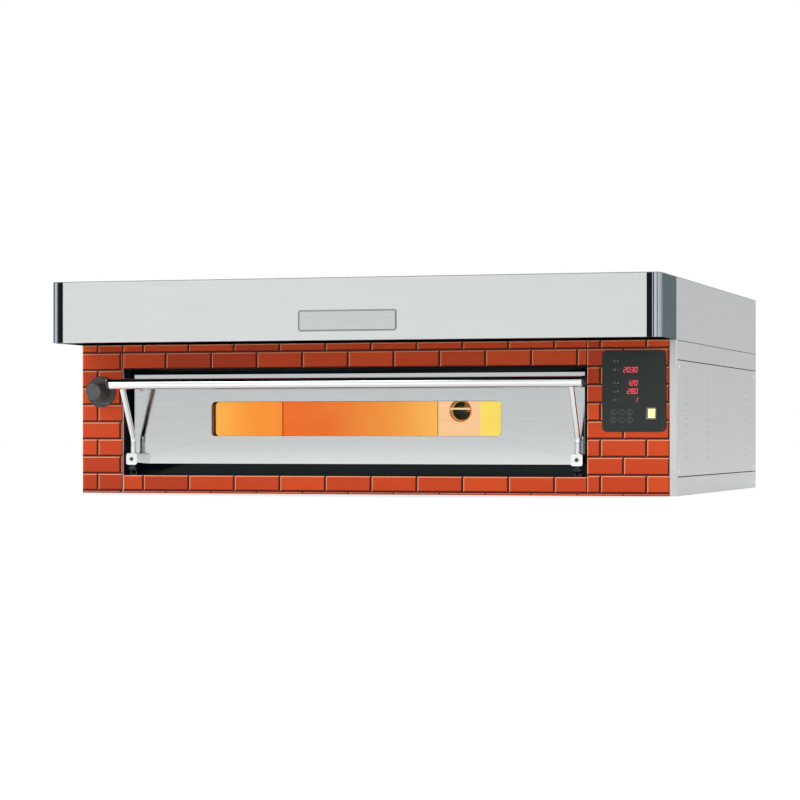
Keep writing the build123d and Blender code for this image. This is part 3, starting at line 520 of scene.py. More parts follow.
def add_tube_path(bm, points, radius, steps):
    """Round rod along points in a plane of constant X."""
    loops = []
    for i, point in enumerate(points):
        before, after = points[max(i - 1, 0)], points[min(i + 1, len(points) - 1)]
        tangent = (after - before).normalized()
        normal = Vector((1, 0, 0)).cross(tangent)
        loops.append([point + radius * (Vector((1, 0, 0)) * math.cos(a) + normal * math.sin(a))
                      for a in (2 * math.pi * k / steps for k in range(steps))])
    add_loops(bm, loops)


def finish_cad(name, width):
    """Rounds the sharp edges of a CAD node with modifiers, so that they catch the light."""
    node = nodes[name]
    weld = node.modifiers.new("weld", "WELD")
    weld.merge_threshold = 0.000002
    bevel = node.modifiers.new("bevel", "BEVEL")
    bevel.width = width
    bevel.segments = 2
    bevel.limit_method = "ANGLE"
    bevel.angle_limit = math.radians(35)
    for polygon in node.data.polygons:
        polygon.use_smooth = True
    node.modifiers.new("normals", "WEIGHTED_NORMAL").keep_sharp = True


# ---- brick facing

BODY_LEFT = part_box("brick_panel_left")[0].x
COURSE = 39.8 * MM
FIRST_COURSE = 5.5 * MM
LONGEST_BRICK = 113.4 * MM
BRICK_TAPER = 0.00857
ROW_STARTS = (39.3 * MM, 95.8 * MM)
JOINT = 2.6 * MM
CHAMFER = 2.4 * MM
RELIEF = 2.0 * MM
SMALLEST_BRICK = 4.0 * MM
BRICK_TONES = (0.05, 0.45, 0.5, 0.55, 0.65, 0.7, 0.95)


def brick_spans(low, high, row):
    """Pieces of a row of bricks between low and high, as (from, to, joint left, joint right).

    The bricks get a little shorter towards the right of the front."""
    following = BODY_LEFT + ROW_STARTS[row % 2]
    place = following - LONGEST_BRICK
    while place < high:
        x0, x1 = max(place, low), min(following, high)
        if x1 - x0 > SMALLEST_BRICK:
            yield x0, x1, place > low, following < high
        place = following
        following += LONGEST_BRICK - BRICK_TAPER * (following - BODY_LEFT)


def add_brick(bm, rect, ground, face_y, tone, layers):
    """One brick with chamfered edges; upper and left chamfers are marked for a painted highlight,
    the rest for painted shade.
    """
    x0, x1, z0, z1 = rect
    inset = min(CHAMFER, (x1 - x0) / 4, (z1 - z0) / 4)
    loops = [rounded_loop(x0 + d, x1 - d, z0 + d, z1 - d, 0, y, 0) for d, y in
             ((0, ground), (0, face_y + RELIEF * 0.5), (inset * 0.6, face_y + RELIEF * 0.16),
              (inset, face_y))]
    faces = add_loops(bm, loops)
    sides = len(faces) - 2
    for number, face in enumerate(faces):
        face[layers["tone"]] = tone
        # edge: 1 marks the painted highlight, 0 the painted shade, 0.5 the brick's face.
        face[layers["edge"]] = 0.5 if number >= sides else (1.0 if number % 4 < 2 else 0.0)


def brick_field(name, node, light_edge=False):
    """Brick relief on a dark ground, cut to the box of a facing node."""
    low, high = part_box(node)
    bm = bmesh.new()
    layers = {key: bm.faces.layers.float.new(key) for key in ("tone", "edge")}
    ground = low.y + RELIEF
    add_box(bm, (low.x, ground, low.z), high, material=1)
    edge_width = 1.2 * MM if light_edge else 0
    if light_edge:
        add_box(bm, (high.x - edge_width, low.y, low.z), (high.x, ground, high.z - 55 * MM),
                0.2 * MM, material=2)
    rows = math.ceil((high.z - FIRST_COURSE) / COURSE)
    for row in range(-1, rows):
        bottom = FIRST_COURSE + row * COURSE
        z0, z1 = max(bottom, low.z), min(bottom + COURSE, high.z)
        if z1 - z0 < SMALLEST_BRICK / 2:
            continue
        z0 += JOINT / 2 if bottom >= low.z else 0
        z1 -= JOINT / 2 if bottom + COURSE <= high.z else 0
        for x0, x1, left_joint, right_joint in brick_spans(low.x, high.x - edge_width, row):
            tone = random.choice(BRICK_TONES) + random.uniform(-0.05, 0.05)
            rect = (x0 + left_joint * JOINT / 2, x1 - right_joint * JOINT / 2, z0, z1)
            if z1 - z0 > SMALLEST_BRICK / 4:
                add_brick(bm, rect, ground, low.y, tone, layers)
    piece(name, bm, ("brick", "joint", "trim"), "casing", (node,), 20.0)


brick_field("brick_left", "brick_panel_left", light_edge=True)
brick_field("brick_over_door", "brick_strip_top")
brick_field("brick_under_door", "brick_strip_bottom")
brick_field("brick_right", "brick_panel_right")


# ---- hood

HOOD_FLUTES = 3
FLUTE_DEPTH = 2.2 * MM
PROFILE_WALL = 5.0 * MM
STRIP_WIDTH = 12.0 * MM


def hood_corner_profiles():
    """Fluted quarter-round profiles at the hood's front corners."""
    low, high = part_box("hood_corners")
    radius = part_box("hood_fascia")[0].x - low.x
    bm = bmesh.new()
    steps = 16 * HOOD_FLUTES
    for sign in (-1, 1):
        centre = Vector((sign * (high.x - radius), low.y + radius, 0))
        rim = [(i / steps, FLUTE_DEPTH * math.sin(math.pi * HOOD_FLUTES * i / steps) ** 2)
               for i in range(steps + 1)]
        rim += [(i / steps, PROFILE_WALL) for i in range(steps, -1, -4)]
        outline = [centre + (radius - depth) * Vector((sign * sind(90 * share),
                                                       -cosd(90 * share), 0))
                   for share, depth in rim]
        loops = [[point + Vector((0, 0, z)) for point in outline] for z in (low.z, high.z)]
        add_loops(bm, loops)
    piece("hood_corner_profiles", bm, ("flute",), "casing",
                 ("hood_corners",), 30.0)


def hood_strips():
    """Dark strips where the fascia meets the corner profiles."""
    low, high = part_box("hood_fascia")
    bm = bmesh.new()
    for x in (low.x, high.x - STRIP_WIDTH):
        add_box(bm, (x, low.y - 0.5 * MM, low.z), (x + STRIP_WIDTH, low.y + 0.6 * MM, high.z),
                0.3 * MM)
    piece("hood_strips", bm, ("black_strip",), "casing")


def hood_surfaces():
    """Light outside; the inner faces get the dark enamel as painted shade inside the hood; the part
    of each side sheet in front of the body is painted dark blue-grey as a painted reflection.
    """
    body_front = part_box("brick_panel_left")[0].y
    choices = {
        # Inner faces, the lip's underside among them, get the dark enamel as painted shade inside
        # the hood.
        "hood_top": lambda normal, centre: 1 if normal.z < -0.5 else 4 * (abs(normal.z) < 0.5),
        # The outer face of each side sheet in front of the body is painted dark blue-grey as a
        # painted reflection.
        "hood_sides": lambda normal, centre: (1 if normal.x * centre.x < 0
                                              else 3 if centre.y > body_front else 2),
        "hood_fascia": lambda normal, centre: normal.y >= -0.5,
        "hood_back": lambda normal, centre: normal.y < 0,
    }
    for name, choose in choices.items():
        paint(name, ("fascia", "enamel", "hood_side_painted_reflection", "casing", "plate_rim"), choose)


def flue():
    """Spigot with a rolled bead and a turned-in rim."""
    low, high, centre, radius, _ = measures("flue_collar")
    bead = low.z + 0.75 * (high.z - low.z)
    outer = [(radius, low.z), (radius, bead - 4 * MM)]
    outer += [(radius - 1.4 * MM * (1 - cosd(a)), bead - 4 * MM + a / 180 * 8 * MM)
              for a in range(30, 181, 30)]
    outer += [(radius - 2.8 * MM, bead + 6 * MM), (radius - 0.6 * MM, high.z - 1 * MM),
              (radius - 1.0 * MM, high.z)]
    inner = [(r - 1.5 * MM, z) for r, z in reversed(outer)]
    bm = bmesh.new()
    add_lathe(bm, [(r, z - low.z) for r, z in outer + inner], (centre.x, centre.y, low.z),
              (0, 0, 1), 96, around=True)
    piece("flue_spigot", bm, ("zinc",), "casing", ("flue_collar",), 40.0)


def blank_plate():
    """Blank plate on the fascia: dark bevelled rim round a satin field."""
    low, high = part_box("name_plate")
    bm = bmesh.new()
    radius = 5.4 * MM
    edges = ((0, high.y), (0, low.y + 0.8 * MM), (-0.5 * MM, low.y + 0.2 * MM),
             (-1.0 * MM, low.y), (-2.4 * MM, low.y), (-3.0 * MM, low.y + 0.5 * MM),
             (-3.6 * MM, low.y + 0.6 * MM))
    rows = [grown(low.x, high.x, low.z, high.z, radius, y, grow) for grow, y in edges]
    add_loops(bm, rows)
    bm.faces.ensure_lookup_table()
    bm.faces[-1].material_index = 1
    piece("blank_plate", bm, ("plate_rim", "plate"), "casing",
                 ("name_plate",), 30.0)


hood_corner_profiles()
hood_strips()
hood_surfaces()
flue()
blank_plate()


# ---- handle

ARM_RADIUS = 6.5 * MM
ARM_RISE = 34.0 * MM
ARM_BEND = 25.0 * MM


def arc_points(before, corner, after, radius, steps):
    """Points of the arc that rounds a corner between two straight runs."""
    inward = (before - corner).normalized()
    outward = (after - corner).normalized()
    half = math.acos(max(-1, min(1, inward.dot(outward)))) / 2
    setback = radius / math.tan(half)
    centre = corner + (inward + outward).normalized() * (radius / math.sin(half))
    start = corner + inward * setback - centre
    end = corner + outward * setback - centre
    turn = math.pi - 2 * half
    return [centre + (start * math.sin((1 - i / steps) * turn) + end * math.sin(i / steps * turn))
            / math.sin(turn) for i in range(steps + 1)]


def arms():
    """Two bent rods from the pivot blocks to the bar."""
    low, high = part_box("handle_arms")
    axis = measures("handle_bar")[2]
    radius = ARM_RADIUS
    bm = bmesh.new()
    for x in (low.x + radius, high.x - radius):
        foot = Vector((x, high.y - radius, low.z))
        corner = foot + Vector((0, 0, ARM_RISE))
        tip = Vector((x, axis.y, axis.z))
        curve = arc_points(foot, corner, tip, ARM_BEND, 14)
        add_tube_path(bm, [foot, *curve, tip], radius, 40)
        add_lathe(bm, [(radius + 1.8 * MM, 0), (radius + 1.8 * MM, 1.6 * MM),
                       (radius + 1.2 * MM, 2.4 * MM), (radius * 0.9, 2.4 * MM)],
                  foot, (0, 0, 1), 40)
    piece("arm_rods", bm, ("chrome",), "door", ("handle_arms",), 40.0)


def bar():
    """Bar with domed black caps."""
    low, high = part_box("handle_bar")
    centre = (low + high) / 2
    radius = (high.z - low.z) / 2
    bm = bmesh.new()
    add_lathe(bm, [(radius, 0), (radius, high.x - low.x)], (low.x, centre.y, centre.z),
              (1, 0, 0), 96)
    piece("bar_tube", bm, ("chrome",), "door", ("handle_bar",), 40.0)
    cap_low, cap_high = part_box("bar_end_caps")
    cap = (cap_high.z - cap_low.z) / 2
    length = low.x - cap_low.x
    profile = [(cap - 0.2 * MM, 0), (cap, 0.3 * MM), (cap, length * 0.35)]
    profile += [(cap * cosd(a) ** 0.8, length * (0.35 + 0.65 * sind(a)))
                for a in range(10, 90, 10)] + [(0, length)]
    bm = bmesh.new()
    add_lathe(bm, profile, (low.x, centre.y, centre.z), (-1, 0, 0), 64)
    add_lathe(bm, profile, (high.x, centre.y, centre.z), (1, 0, 0), 64)
    piece("bar_caps", bm, ("black",), "door", ("bar_end_caps",), 50.0)


arms()
bar()


# ---- damper

DIAL_MARKS = ((0.28, 0.76), (0.40, -0.76))


def damper():
    """Dial with two pale wedges and short lines, and the round grip with a ribbed side."""
    low, high, centre, radius, depth = measures("damper_dial")
    bm = bmesh.new()
    add_lathe(bm, [(radius, 0), (radius, depth - 1.4 * MM), (radius - 0.6 * MM, depth - 0.5 * MM),
                   (radius - 1.8 * MM, depth), (radius - 4 * MM, depth),
                   (radius - 4.6 * MM, depth - 0.5 * MM), (5 * MM, depth - 0.5 * MM),
                   (4.6 * MM, depth - 1.5 * MM)],
              (centre.x, high.y, centre.z), (0, -1, 0), 96)
    face_y = low.y + 0.5 * MM
    for reach, rise in DIAL_MARKS:
        tip = Vector((centre.x + reach * radius, face_y, centre.z + rise * radius))
        add_relief(bm, [(tip.x + x * MM, tip.z + z * MM) for x, z in ((0, 0), (5, 2.5), (5, -2.5))],
                   face_y, 0.2 * MM, 0.15 * MM, 1)
        for start, end in ((-15, -10.5), (-9.5, -6), (-5, -2)):
            add_box(bm, (tip.x + start * MM, face_y - 0.12 * MM, tip.z - 0.35 * MM),
                    (tip.x + end * MM, face_y + 0.2 * MM, tip.z + 0.35 * MM), 0.05 * MM, material=2)
    piece("dial_plate", bm, ("dial", "white_print", "print"), "casing",
          ("damper_dial",), 30.0)
    low, high, _, grip, length = measures("damper_knob")
    ribs, steps = 24, 144
    loops = []
    for share, along, rib in ((0.80, 0, 0), (0.98, 0.02, 0), (1.0, 0.06, 0), (1.0, 0.12, 1),
                              (0.985, 0.88, 1), (0.98, 0.93, 0), (0.965, 0.96, 0),
                              (0.91, 0.99, 0), (0.84, 1.0, 0), (0.78, 0.975, 0), (0.0005, 0.97, 0)):
        loop = []
        for i in range(steps):
            angle = 2 * math.pi * i / steps
            r = grip * share * (1 - 0.02 * rib * (1 + math.cos(ribs * angle)) / 2)
            loop.append(Vector((centre.x + r * math.cos(angle), high.y - along * length,
                                centre.z + r * math.sin(angle))))
        loops.append(loop)
    bm = bmesh.new()
    add_loops(bm, loops)
    add_box(bm, (centre.x - 1 * MM, low.y + 0.3 * MM, centre.z + 0.30 * grip),
            (centre.x + 1 * MM, low.y + 2 * MM, centre.z + 0.72 * grip), 0.3 * MM)
    piece("knob_grip", bm, ("knob",), "damper",
          ("damper_knob",), 30.0)


def add_sector(bm, centre, inner, outer, start, end, y, material):
    """Thin printed sector of a ring, facing -Y; angles in degrees from +X."""
    steps = max(2, int(abs(end - start) / 3))
    angles = [math.radians(start + (end - start) * i / steps) for i in range(steps + 1)]
    ring = [(outer, a) for a in angles] + [(inner, a) for a in reversed(angles)]
    add_relief(bm, [(centre.x + r * math.cos(a), centre.z + r * math.sin(a)) for r, a in ring],
               y, 0.2 * MM, 0.15 * MM, material)


damper()


# ---- control panel

SEGMENTS = {
    "0": "abcdef", "1": "bc", "2": "abged", "3": "abgcd", "8": "abcdefg",
}
DIGIT_HEIGHT = 10.4 * MM
DIGIT_WIDTH = 5.2 * MM
DIGIT_PITCH = 8.2 * MM
DIGIT_BAR = 1.0 * MM
DIGIT_SLANT = 0.16
DISPLAY_ROWS = ((136.0, "20.30"), (107.0, "120"), (89.0, "280"), (70.0, "1"))
DISPLAY_RIGHT = 78.5
ICON_ROWS = (155.0, 136.0, 107.0, 89.0, 70.0)
LIT_ROWS = (155.0, 107.0, 89.0)


def add_segment(bm, start, end, y):
    """Lit bar with pointed ends, from start to end in the plane of the panel."""
    along = (end - start).normalized()
    across = Vector((-along.z, 0, along.x)) * DIGIT_BAR / 2
    tip = along * DIGIT_BAR / 2
    outline = [start, start + tip + across, end - tip + across, end, end - tip - across,
               start + tip - across]
    add_relief(bm, [(point.x, point.z) for point in outline], y, 0.1 * MM, 0.25 * MM)


def add_digit(bm, right, middle, y, text):
    """One seven-segment digit, slanted as such displays are."""
    def place(x, z):
        return Vector((right - DIGIT_WIDTH * (1 - x) + DIGIT_SLANT * z * DIGIT_HEIGHT / 2, y,
                       middle + z * DIGIT_HEIGHT / 2))
    ends = {"a": ((0, 1), (1, 1)), "b": ((1, 1), (1, 0)), "c": ((1, 0), (1, -1)),
            "d": ((0, -1), (1, -1)), "e": ((0, 0), (0, -1)), "f": ((0, 1), (0, 0)),
            "g": ((0, 0), (1, 0))}
    for letter in SEGMENTS[text]:
        start, end = ends[letter]
        add_segment(bm, place(*start), place(*end), y)


def displays():
    """Red number displays, their dark windows, icons, lamps and rings round the keys."""
    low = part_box("control_overlay")[0]
    y = low.y
    lit, dark, printed = bmesh.new(), bmesh.new(), bmesh.new()
    for height, text in DISPLAY_ROWS:
        middle = low.z + height * MM
        right = low.x + DISPLAY_RIGHT * MM
        digits = [c for c in text if c != "."]
        add_box(dark, (right - (len(digits) - 0.1) * DIGIT_PITCH, y - 0.12 * MM, middle - 6.6 * MM),
                (right + 2 * MM, y + 0.1 * MM, middle + 6.6 * MM), 0.05 * MM)
        for i, character in enumerate(reversed(digits)):
            add_digit(lit, right - i * DIGIT_PITCH, middle, y - 0.15 * MM, character)
        if "." in text:
            behind = len(text) - 1 - text.index(".")
            x = right - behind * DIGIT_PITCH + 1.3 * MM
            add_box(lit, (x - 0.6 * MM, y - 0.4 * MM, middle - DIGIT_HEIGHT / 2 - 0.4 * MM),
                    (x + 0.6 * MM, y, middle - DIGIT_HEIGHT / 2 + 0.8 * MM), 0.2 * MM)
    for number, height in enumerate(ICON_ROWS):
        add_icon(printed, Vector((low.x + 27.5 * MM, y, low.z + height * MM)), number, y)
    for number in range(1, 7):
        add_sector(printed, measures(f"key_{number}")[2], 5.7 * MM, 6.2 * MM, 0, 356, y, 0)
    green, off = bmesh.new(), bmesh.new()
    for height in ICON_ROWS:
        bm = green if height in LIT_ROWS else off
        centre = (low.x + 35 * MM, y, low.z + height * MM)
        add_lathe(bm, [(1.3 * MM, -0.1 * MM), (1.3 * MM, 0.15 * MM), (0.9 * MM, 0.4 * MM),
                       (0, 0.5 * MM)], centre, (0, -1, 0), 24)
    for name, bm, key, angle in (("display_digits", lit, "digit", 20.0),
                                 ("display_windows", dark, "display", 20.0),
                                 ("overlay_prints", printed, "print", 20.0),
                                 ("lamps_on", green, "lamp_green", 50.0),
                                 ("lamps_off", off, "lamp_off", 50.0)):
        piece(name, bm, (key,), "casing", angle=angle)


def add_icon(bm, middle, number, y):
    """Small generic pictogram: clock (for the first two rows), upper heat, lower heat or program
    square.
    """
    def stroke(x0, x1, z0, z1):
        add_box(bm, (middle.x + x0 * MM, y - 0.12 * MM, middle.z + z0 * MM),
                (middle.x + x1 * MM, y + 0.1 * MM, middle.z + z1 * MM), 0.05 * MM)
    if number in (0, 1):
        add_sector(bm, middle, 2.1 * MM, 2.6 * MM, 0, 356, y, 0)
        stroke(-0.25, 0.25, -0.2, 1.6)
        stroke(-0.2, 1.3, -0.25, 0.25)
    elif number in (2, 3):
        line = 2.2 if number == 2 else -2.2
        stroke(-2.6, 2.6, line - 0.25, line + 0.25)
        for x in (-1.7, 0.0, 1.7):
            stroke(x - 0.25, x + 0.25, -1.2, 1.2)
    else:
        for x0, x1, z0, z1 in ((-2.2, 2.2, 1.7, 2.2), (-2.2, 2.2, -2.2, -1.7),
                               (-2.2, -1.7, -2.2, 2.2), (1.7, 2.2, -2.2, 2.2)):
            stroke(x0, x1, z0, z1)


KEY_ROOM = 0.8 * MM


def key_caps():
    """Six round keys with a soft rim, each with its own small mark."""
    for number in range(1, 7):
        low, high, centre, radius, length = measures(f"key_{number}")
        bm = bmesh.new()
        add_lathe(bm, [(radius, KEY_ROOM), (radius, length - 0.5 * MM),
                       (radius - 0.25 * MM, length - 0.12 * MM),
                       (radius - 0.7 * MM, length), (radius - 1.3 * MM, length - 0.15 * MM),
                       (0, length - 0.2 * MM)],
                  (centre.x, high.y, centre.z), (0, -1, 0), 48)
        up = 1 if number > 3 else -1
        mark_y = low.y + 0.1 * MM
        if number % 3 == 0:
            corners = ((-1.1, -1.1), (1.1, -1.1), (1.1, 1.1), (-1.1, 1.1))
        elif number % 3 == 1:
            corners = ((-1.4, -0.9 * up), (1.4, -0.9 * up), (0, 1.4 * up))
        else:
            corners = ((-1.5, -0.3), (1.5, -0.3), (1.5, 0.3), (-1.5, 0.3))
        add_relief(bm, [(centre.x + x * MM, centre.z + z * MM) for x, z in corners],
                   mark_y, 0.3 * MM, 0.12 * MM, 1)
        piece(f"key_cap_{number}", bm, ("overlay", "print"), f"key_{number}",
              (f"key_{number}",), 40.0)


LENS = (15.5 * MM, 20.5 * MM)
ROCKER_TILT = -7


def rocker():
    """Lit rocker with a hollowed face, tilted to its rest position."""
    half_width = measures("light_switch")[3]
    joint = next(j for j in frame["joints"] if j["child"] == "rocker")
    pivot = Vector(joint["pos_m"])
    half_depth, half_height, corner = 6 * MM, 13.3 * MM, 1.2 * MM

    def tilted(x, y, z):
        return pivot + Vector((x, y * cosd(ROCKER_TILT) - z * sind(ROCKER_TILT),
                               y * sind(ROCKER_TILT) + z * cosd(ROCKER_TILT)))

    section = [(half_depth, -half_height), (half_depth, half_height)]
    section += [(-half_depth + corner * (1 - sind(a)), half_height - corner * (1 - cosd(a)))
                for a in (0, 30, 60, 90)]
    section += [(-half_depth + 0.9 * MM * cosd(90 * share), share * half_height)
                for share in (0.75, 0.5, 0.25, 0.0, -0.25, -0.5, -0.75)]
    section += [(y, -z) for y, z in reversed(section[2:6])]
    bm = bmesh.new()
    loops = [[tilted(x * half_width, shrink * y, shrink * z) for y, z in section]
             for x, shrink in ((-1, 0.965), (-0.96, 1), (0.96, 1), (1, 0.965))]
    add_loops(bm, loops)
    width, height = LENS
    loops = [[tilted(p.x + 1 * MM, p.y, p.z)
              for p in grown(-width / 2, width / 2, -height / 2, height / 2, 1.0 * MM,
                             -half_depth + 0.6 * MM + depth, grow)]
             for grow, depth in ((0, 1.5 * MM), (0, -0.15 * MM), (-0.5 * MM, -0.45 * MM))]
    add_loops(bm, loops, 1)
    piece("rocker_cap", bm, ("rocker_body", "rocker"), "rocker",
                 ("light_switch",), 35.0)


displays()
key_caps()
rocker()


# ---- door and chamber

def door_pan():
    """Door skin with rolled edges, a window reveal and its inner faces, as one closed sheet."""
    low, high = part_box("door_panel")
    glass_low, glass_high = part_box("door_glass")
    margin = 12 * MM
    window = (glass_low.x + margin, glass_high.x - margin,
              glass_low.z + margin, glass_high.z - margin)
    corner, sheet, edge = 9 * MM, 1.5 * MM, 1.6 * MM
    outer = (low.x, high.x, low.z, high.z)

    def outside(grow, y):
        return grown(*outer, edge, y, grow, 8)

    def inside(grow, y):
        return grown(*window, corner, y, grow, 8)

    face, back = low.y, high.y
    loops = [outside(0, back), outside(0, face + edge)]
    loops += [outside(-edge * (1 - cosd(a)), face + edge * (1 - sind(a))) for a in (30, 60, 90)]
    loops += [inside(edge * (1 - sind(a)), face + edge * (1 - cosd(a))) for a in (0, 30, 60, 90)]
    loops += [inside(0, glass_low.y), inside(sheet, glass_low.y),
              inside(sheet, face + sheet + edge), outside(-sheet, face + sheet + edge),
              outside(-sheet, back)]
    bm = bmesh.new()
    add_loops(bm, loops, around=True)
    bm.normal_update()
    for polygon in bm.faces:
        middle = polygon.calc_center_median()
        in_window = (window[0] - sheet < middle.x < window[1] + sheet
                     and window[2] - sheet < middle.z < window[3] + sheet)
        if in_window and abs(polygon.normal.y) < 0.2:
            polygon.material_index = 1
    piece("door_skin", bm, ("door", "reveal"), "door", ("door_panel",), 40.0)


def chamber_surfaces():
    """Emissive colours of the chamber's sheets, wall by wall: a painted glow in place of the
    chamber's light.
    """
    low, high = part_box("chamber_shell")
    middle = (low.x + high.x) / 2

    def wall(normal, centre):
        if normal.y < -0.5 and centre.y > high.y - 20 * MM:
            return 1
        if abs(normal.x) > 0.5 and normal.x * (centre.x - middle) < 0:
            return 2
        return 3 * (normal.z < -0.5)

    paint("chamber_shell", ("hot_steel", "painted_glow_back", "painted_glow_side", "painted_glow_roof"), wall)


LAMP_PLATE_THICKNESS = 1.2 * MM
LAMP_PLATE_LEFT = 61 * MM
LAMP_PLATE_RIGHT = 53 * MM


def lamp_plate():
    """Access plate round the lamp, on the back wall, pale from a painted glow, with dark seam lines
    as painted shade.
    """
    low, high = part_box("chamber_shell")
    _, lamp_high, middle, _, _ = measures("lamp_bezel")
    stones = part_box("deck_stones")[1].z
    centre = middle.x
    bm = bmesh.new()
    add_box(bm, (centre - LAMP_PLATE_LEFT, lamp_high.y - LAMP_PLATE_THICKNESS, stones + 1 * MM),
            (centre + LAMP_PLATE_RIGHT, lamp_high.y, high.z - 4 * MM), 0.5 * MM)
    # Dark lines at the back wall's left corner and at the plate's left edge: painted shade.
    for x in (low.x + 2.5 * MM, centre - LAMP_PLATE_LEFT - 1.5 * MM):
        add_box(bm, (x, lamp_high.y - 1.5 * MM, stones + 1 * MM),
                (x + 1.8 * MM, lamp_high.y, high.z - 4 * MM), 0.3 * MM, material=1)
    piece("lamp_plate", bm, ("painted_glow_plate", "seam_line"), "casing")


def lamp():
    """Rim, dish with a pale band in the cream painted glow, and lens of the chamber lamp with a
    painted glint.
    """
    low, high, centre, radius, depth = measures("lamp_bezel")
    bm = bmesh.new()
    profile = [(radius, 0), (radius, depth * 0.5), (radius - 0.8 * MM, depth * 0.85),
               (radius - 1.6 * MM, depth), (radius - 2.4 * MM, depth * 0.95),
               (radius - 3.0 * MM, depth * 0.4), (radius - 3.0 * MM, 0)]
    add_lathe(bm, profile, (centre.x, high.y, centre.z), (0, -1, 0), 72, around=True)
    piece("lamp_rim", bm, ("brass",), "casing", ("lamp_bezel",), 40.0)
    seat = Vector((centre.x, high.y - LAMP_PLATE_THICKNESS, centre.z))
    reach = radius - 2.8 * MM
    dish = bmesh.new()
    add_lathe(dish, [(reach, -0.6 * MM), (reach, 0.2 * MM), (reach * 0.6, 0.1 * MM),
                     (0, 0.1 * MM)], seat, (0, -1, 0), 72)
    # The band gets the cream painted glow.
    add_box(dish, (centre.x - reach, low.y - 0.2 * MM, centre.z + 2.5 * MM),
            (centre.x + reach, low.y + 0.8 * MM, centre.z + 7.5 * MM), 0.4 * MM, material=1)
    piece("lamp_dish", dish, ("brass", "painted_glow_plate"), "casing", angle=40.0)
    bm = bmesh.new()
    bulge = reach * 0.88
    dome = [(bulge, 0), (bulge, 0.8 * MM)]
    dome += [(bulge * cosd(a), 0.8 * MM + 1.8 * MM * sind(a))
             for a in range(15, 90, 15)] + [(0, 2.6 * MM)]
    lens_centre = seat + Vector((reach - bulge, 0, -0.8 * MM))
    add_lathe(bm, dome, lens_centre, (0, -1, 0), 72)
    # Pale sector on the lens: a painted glint.
    add_sector(bm, lens_centre, 0.55 * bulge, 0.98 * bulge, -8, 62, seat.y - 2.6 * MM, 1)
    piece("lamp_lens", bm, ("lens", "lens_glint"), "casing", ("lamp_glass",), 40.0)


# Colours of the painted glow in the chamber.
GOLD = (0.90, 0.34, 0.045)
AMBER = (0.98, 0.57, 0.12)
DEEP_GLOW_ORANGE = (0.78, 0.115, 0.018)
CREAM = (0.96, 0.70, 0.42)
LEMON = (0.98, 0.91, 0.17)


def painted_glow_materials():
    """Sheets with a painted glow: the back wall runs along X, the side walls along Y."""
    low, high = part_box("chamber_shell")
    centre = measures("lamp_bezel")[2].x
    seam = (centre - LAMP_PLATE_LEFT - low.x) / (high.x - low.x)
    M["painted_glow_back"] = painted_glow_wall_material(
        "painted_glow_back_wall",
        [(0.0, DEEP_GLOW_ORANGE), (seam * 0.35, (0.78, 0.16, 0.03)), (seam * 0.7, (0.88, 0.34, 0.06)),
         (seam, AMBER), (seam + 0.13, LEMON), (1.0, AMBER)], low.x, high.x, 0.9, "X")
    M["painted_glow_side"] = painted_glow_wall_material(
        "painted_glow_side_wall",
        [(0.0, GOLD), (0.38, AMBER), (0.7, GOLD), (1.0, (0.88, 0.26, 0.035))],
        low.y, high.y, 0.9, "Y")
    M["painted_glow_roof"] = painted_glow_wall_material(
        "painted_glow_roof_sheet", [(0.0, DEEP_GLOW_ORANGE), (1.0, GOLD)], low.x, high.x, 0.5, "X")
    M["painted_glow_plate"] = painted_glow_wall_material(
        "painted_glow_lamp_plate", [(0.0, CREAM), (1.0, CREAM)], low.x, high.x, 0.9, "X")


painted_glow_materials()
door_pan()
chamber_surfaces()
lamp_plate()
lamp()


# ---- screws and edges

BLOCK_HEIGHT = 26.0 * MM
BLOCK_SCREW = 13.3 * MM


def button_screw(bm, centre, axis, radius):
    """Low domed head with a hexagonal socket."""
    axis = Vector(axis)
    add_lathe(bm, [(radius, -1.0 * MM), (radius, 0.3 * MM), (radius * 0.92, 0.9 * MM),
                   (radius * 0.72, 1.3 * MM), (radius * 0.5, 1.4 * MM)], centre, axis, 32)
    add_lathe(bm, [(radius * 0.45, 1.2 * MM), (radius * 0.45, 1.45 * MM)], centre, axis, 6, 1)


def side_screws():
    """Heads of the side panels' screws, in the places of the CAD screws."""
    low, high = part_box("panel_screws")
    radius = 3.5 * MM
    bm = bmesh.new()
    for sign, x in ((-1, low.x), (1, high.x)):
        for y in (low.y + radius, high.y - radius):
            for z in (low.z + radius, high.z - radius):
                button_screw(bm, (x, y, z), (sign, 0, 0), radius * 1.25)
    piece("side_screw_heads", bm, ("chrome", "black"), "casing",
                 ("panel_screws",), 40.0)


def block_screws():
    """Socket screws sunk in the pivot blocks."""
    low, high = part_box("pivot_blocks")
    bm = bmesh.new()
    for x in (low.x + BLOCK_SCREW, high.x - BLOCK_SCREW):
        centre = Vector((x, low.y, high.z - BLOCK_SCREW))
        profile = [(5.0 * MM, -0.4 * MM), (5.0 * MM, 0.35 * MM), (4.4 * MM, 0.7 * MM),
                   (3.3 * MM, 0.55 * MM), (3.0 * MM, -0.6 * MM)]
        add_lathe(bm, profile, centre, (0, -1, 0), 48, around=True)
        add_lathe(bm, [(3.05 * MM, -4.8 * MM), (3.05 * MM, -2.0 * MM), (2.6 * MM, -1.7 * MM)],
                  centre, (0, -1, 0), 32, 1)
    piece("block_screws", bm, ("plate_rim", "black"), "door", (), 40.0)


side_screws()
block_screws()
lug_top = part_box("pivot_blocks")[1].z - BLOCK_HEIGHT
paint("pivot_blocks", ("chrome", "hinge"),
      lambda normal, centre: centre.z < lug_top or normal.y > 0.5)
# The top cover's edge faces get black: a painted shadow in the seam between hood and body.
paint("top_cover", ("zinc", "black_strip"), lambda normal, centre: abs(normal.z) < 0.5)

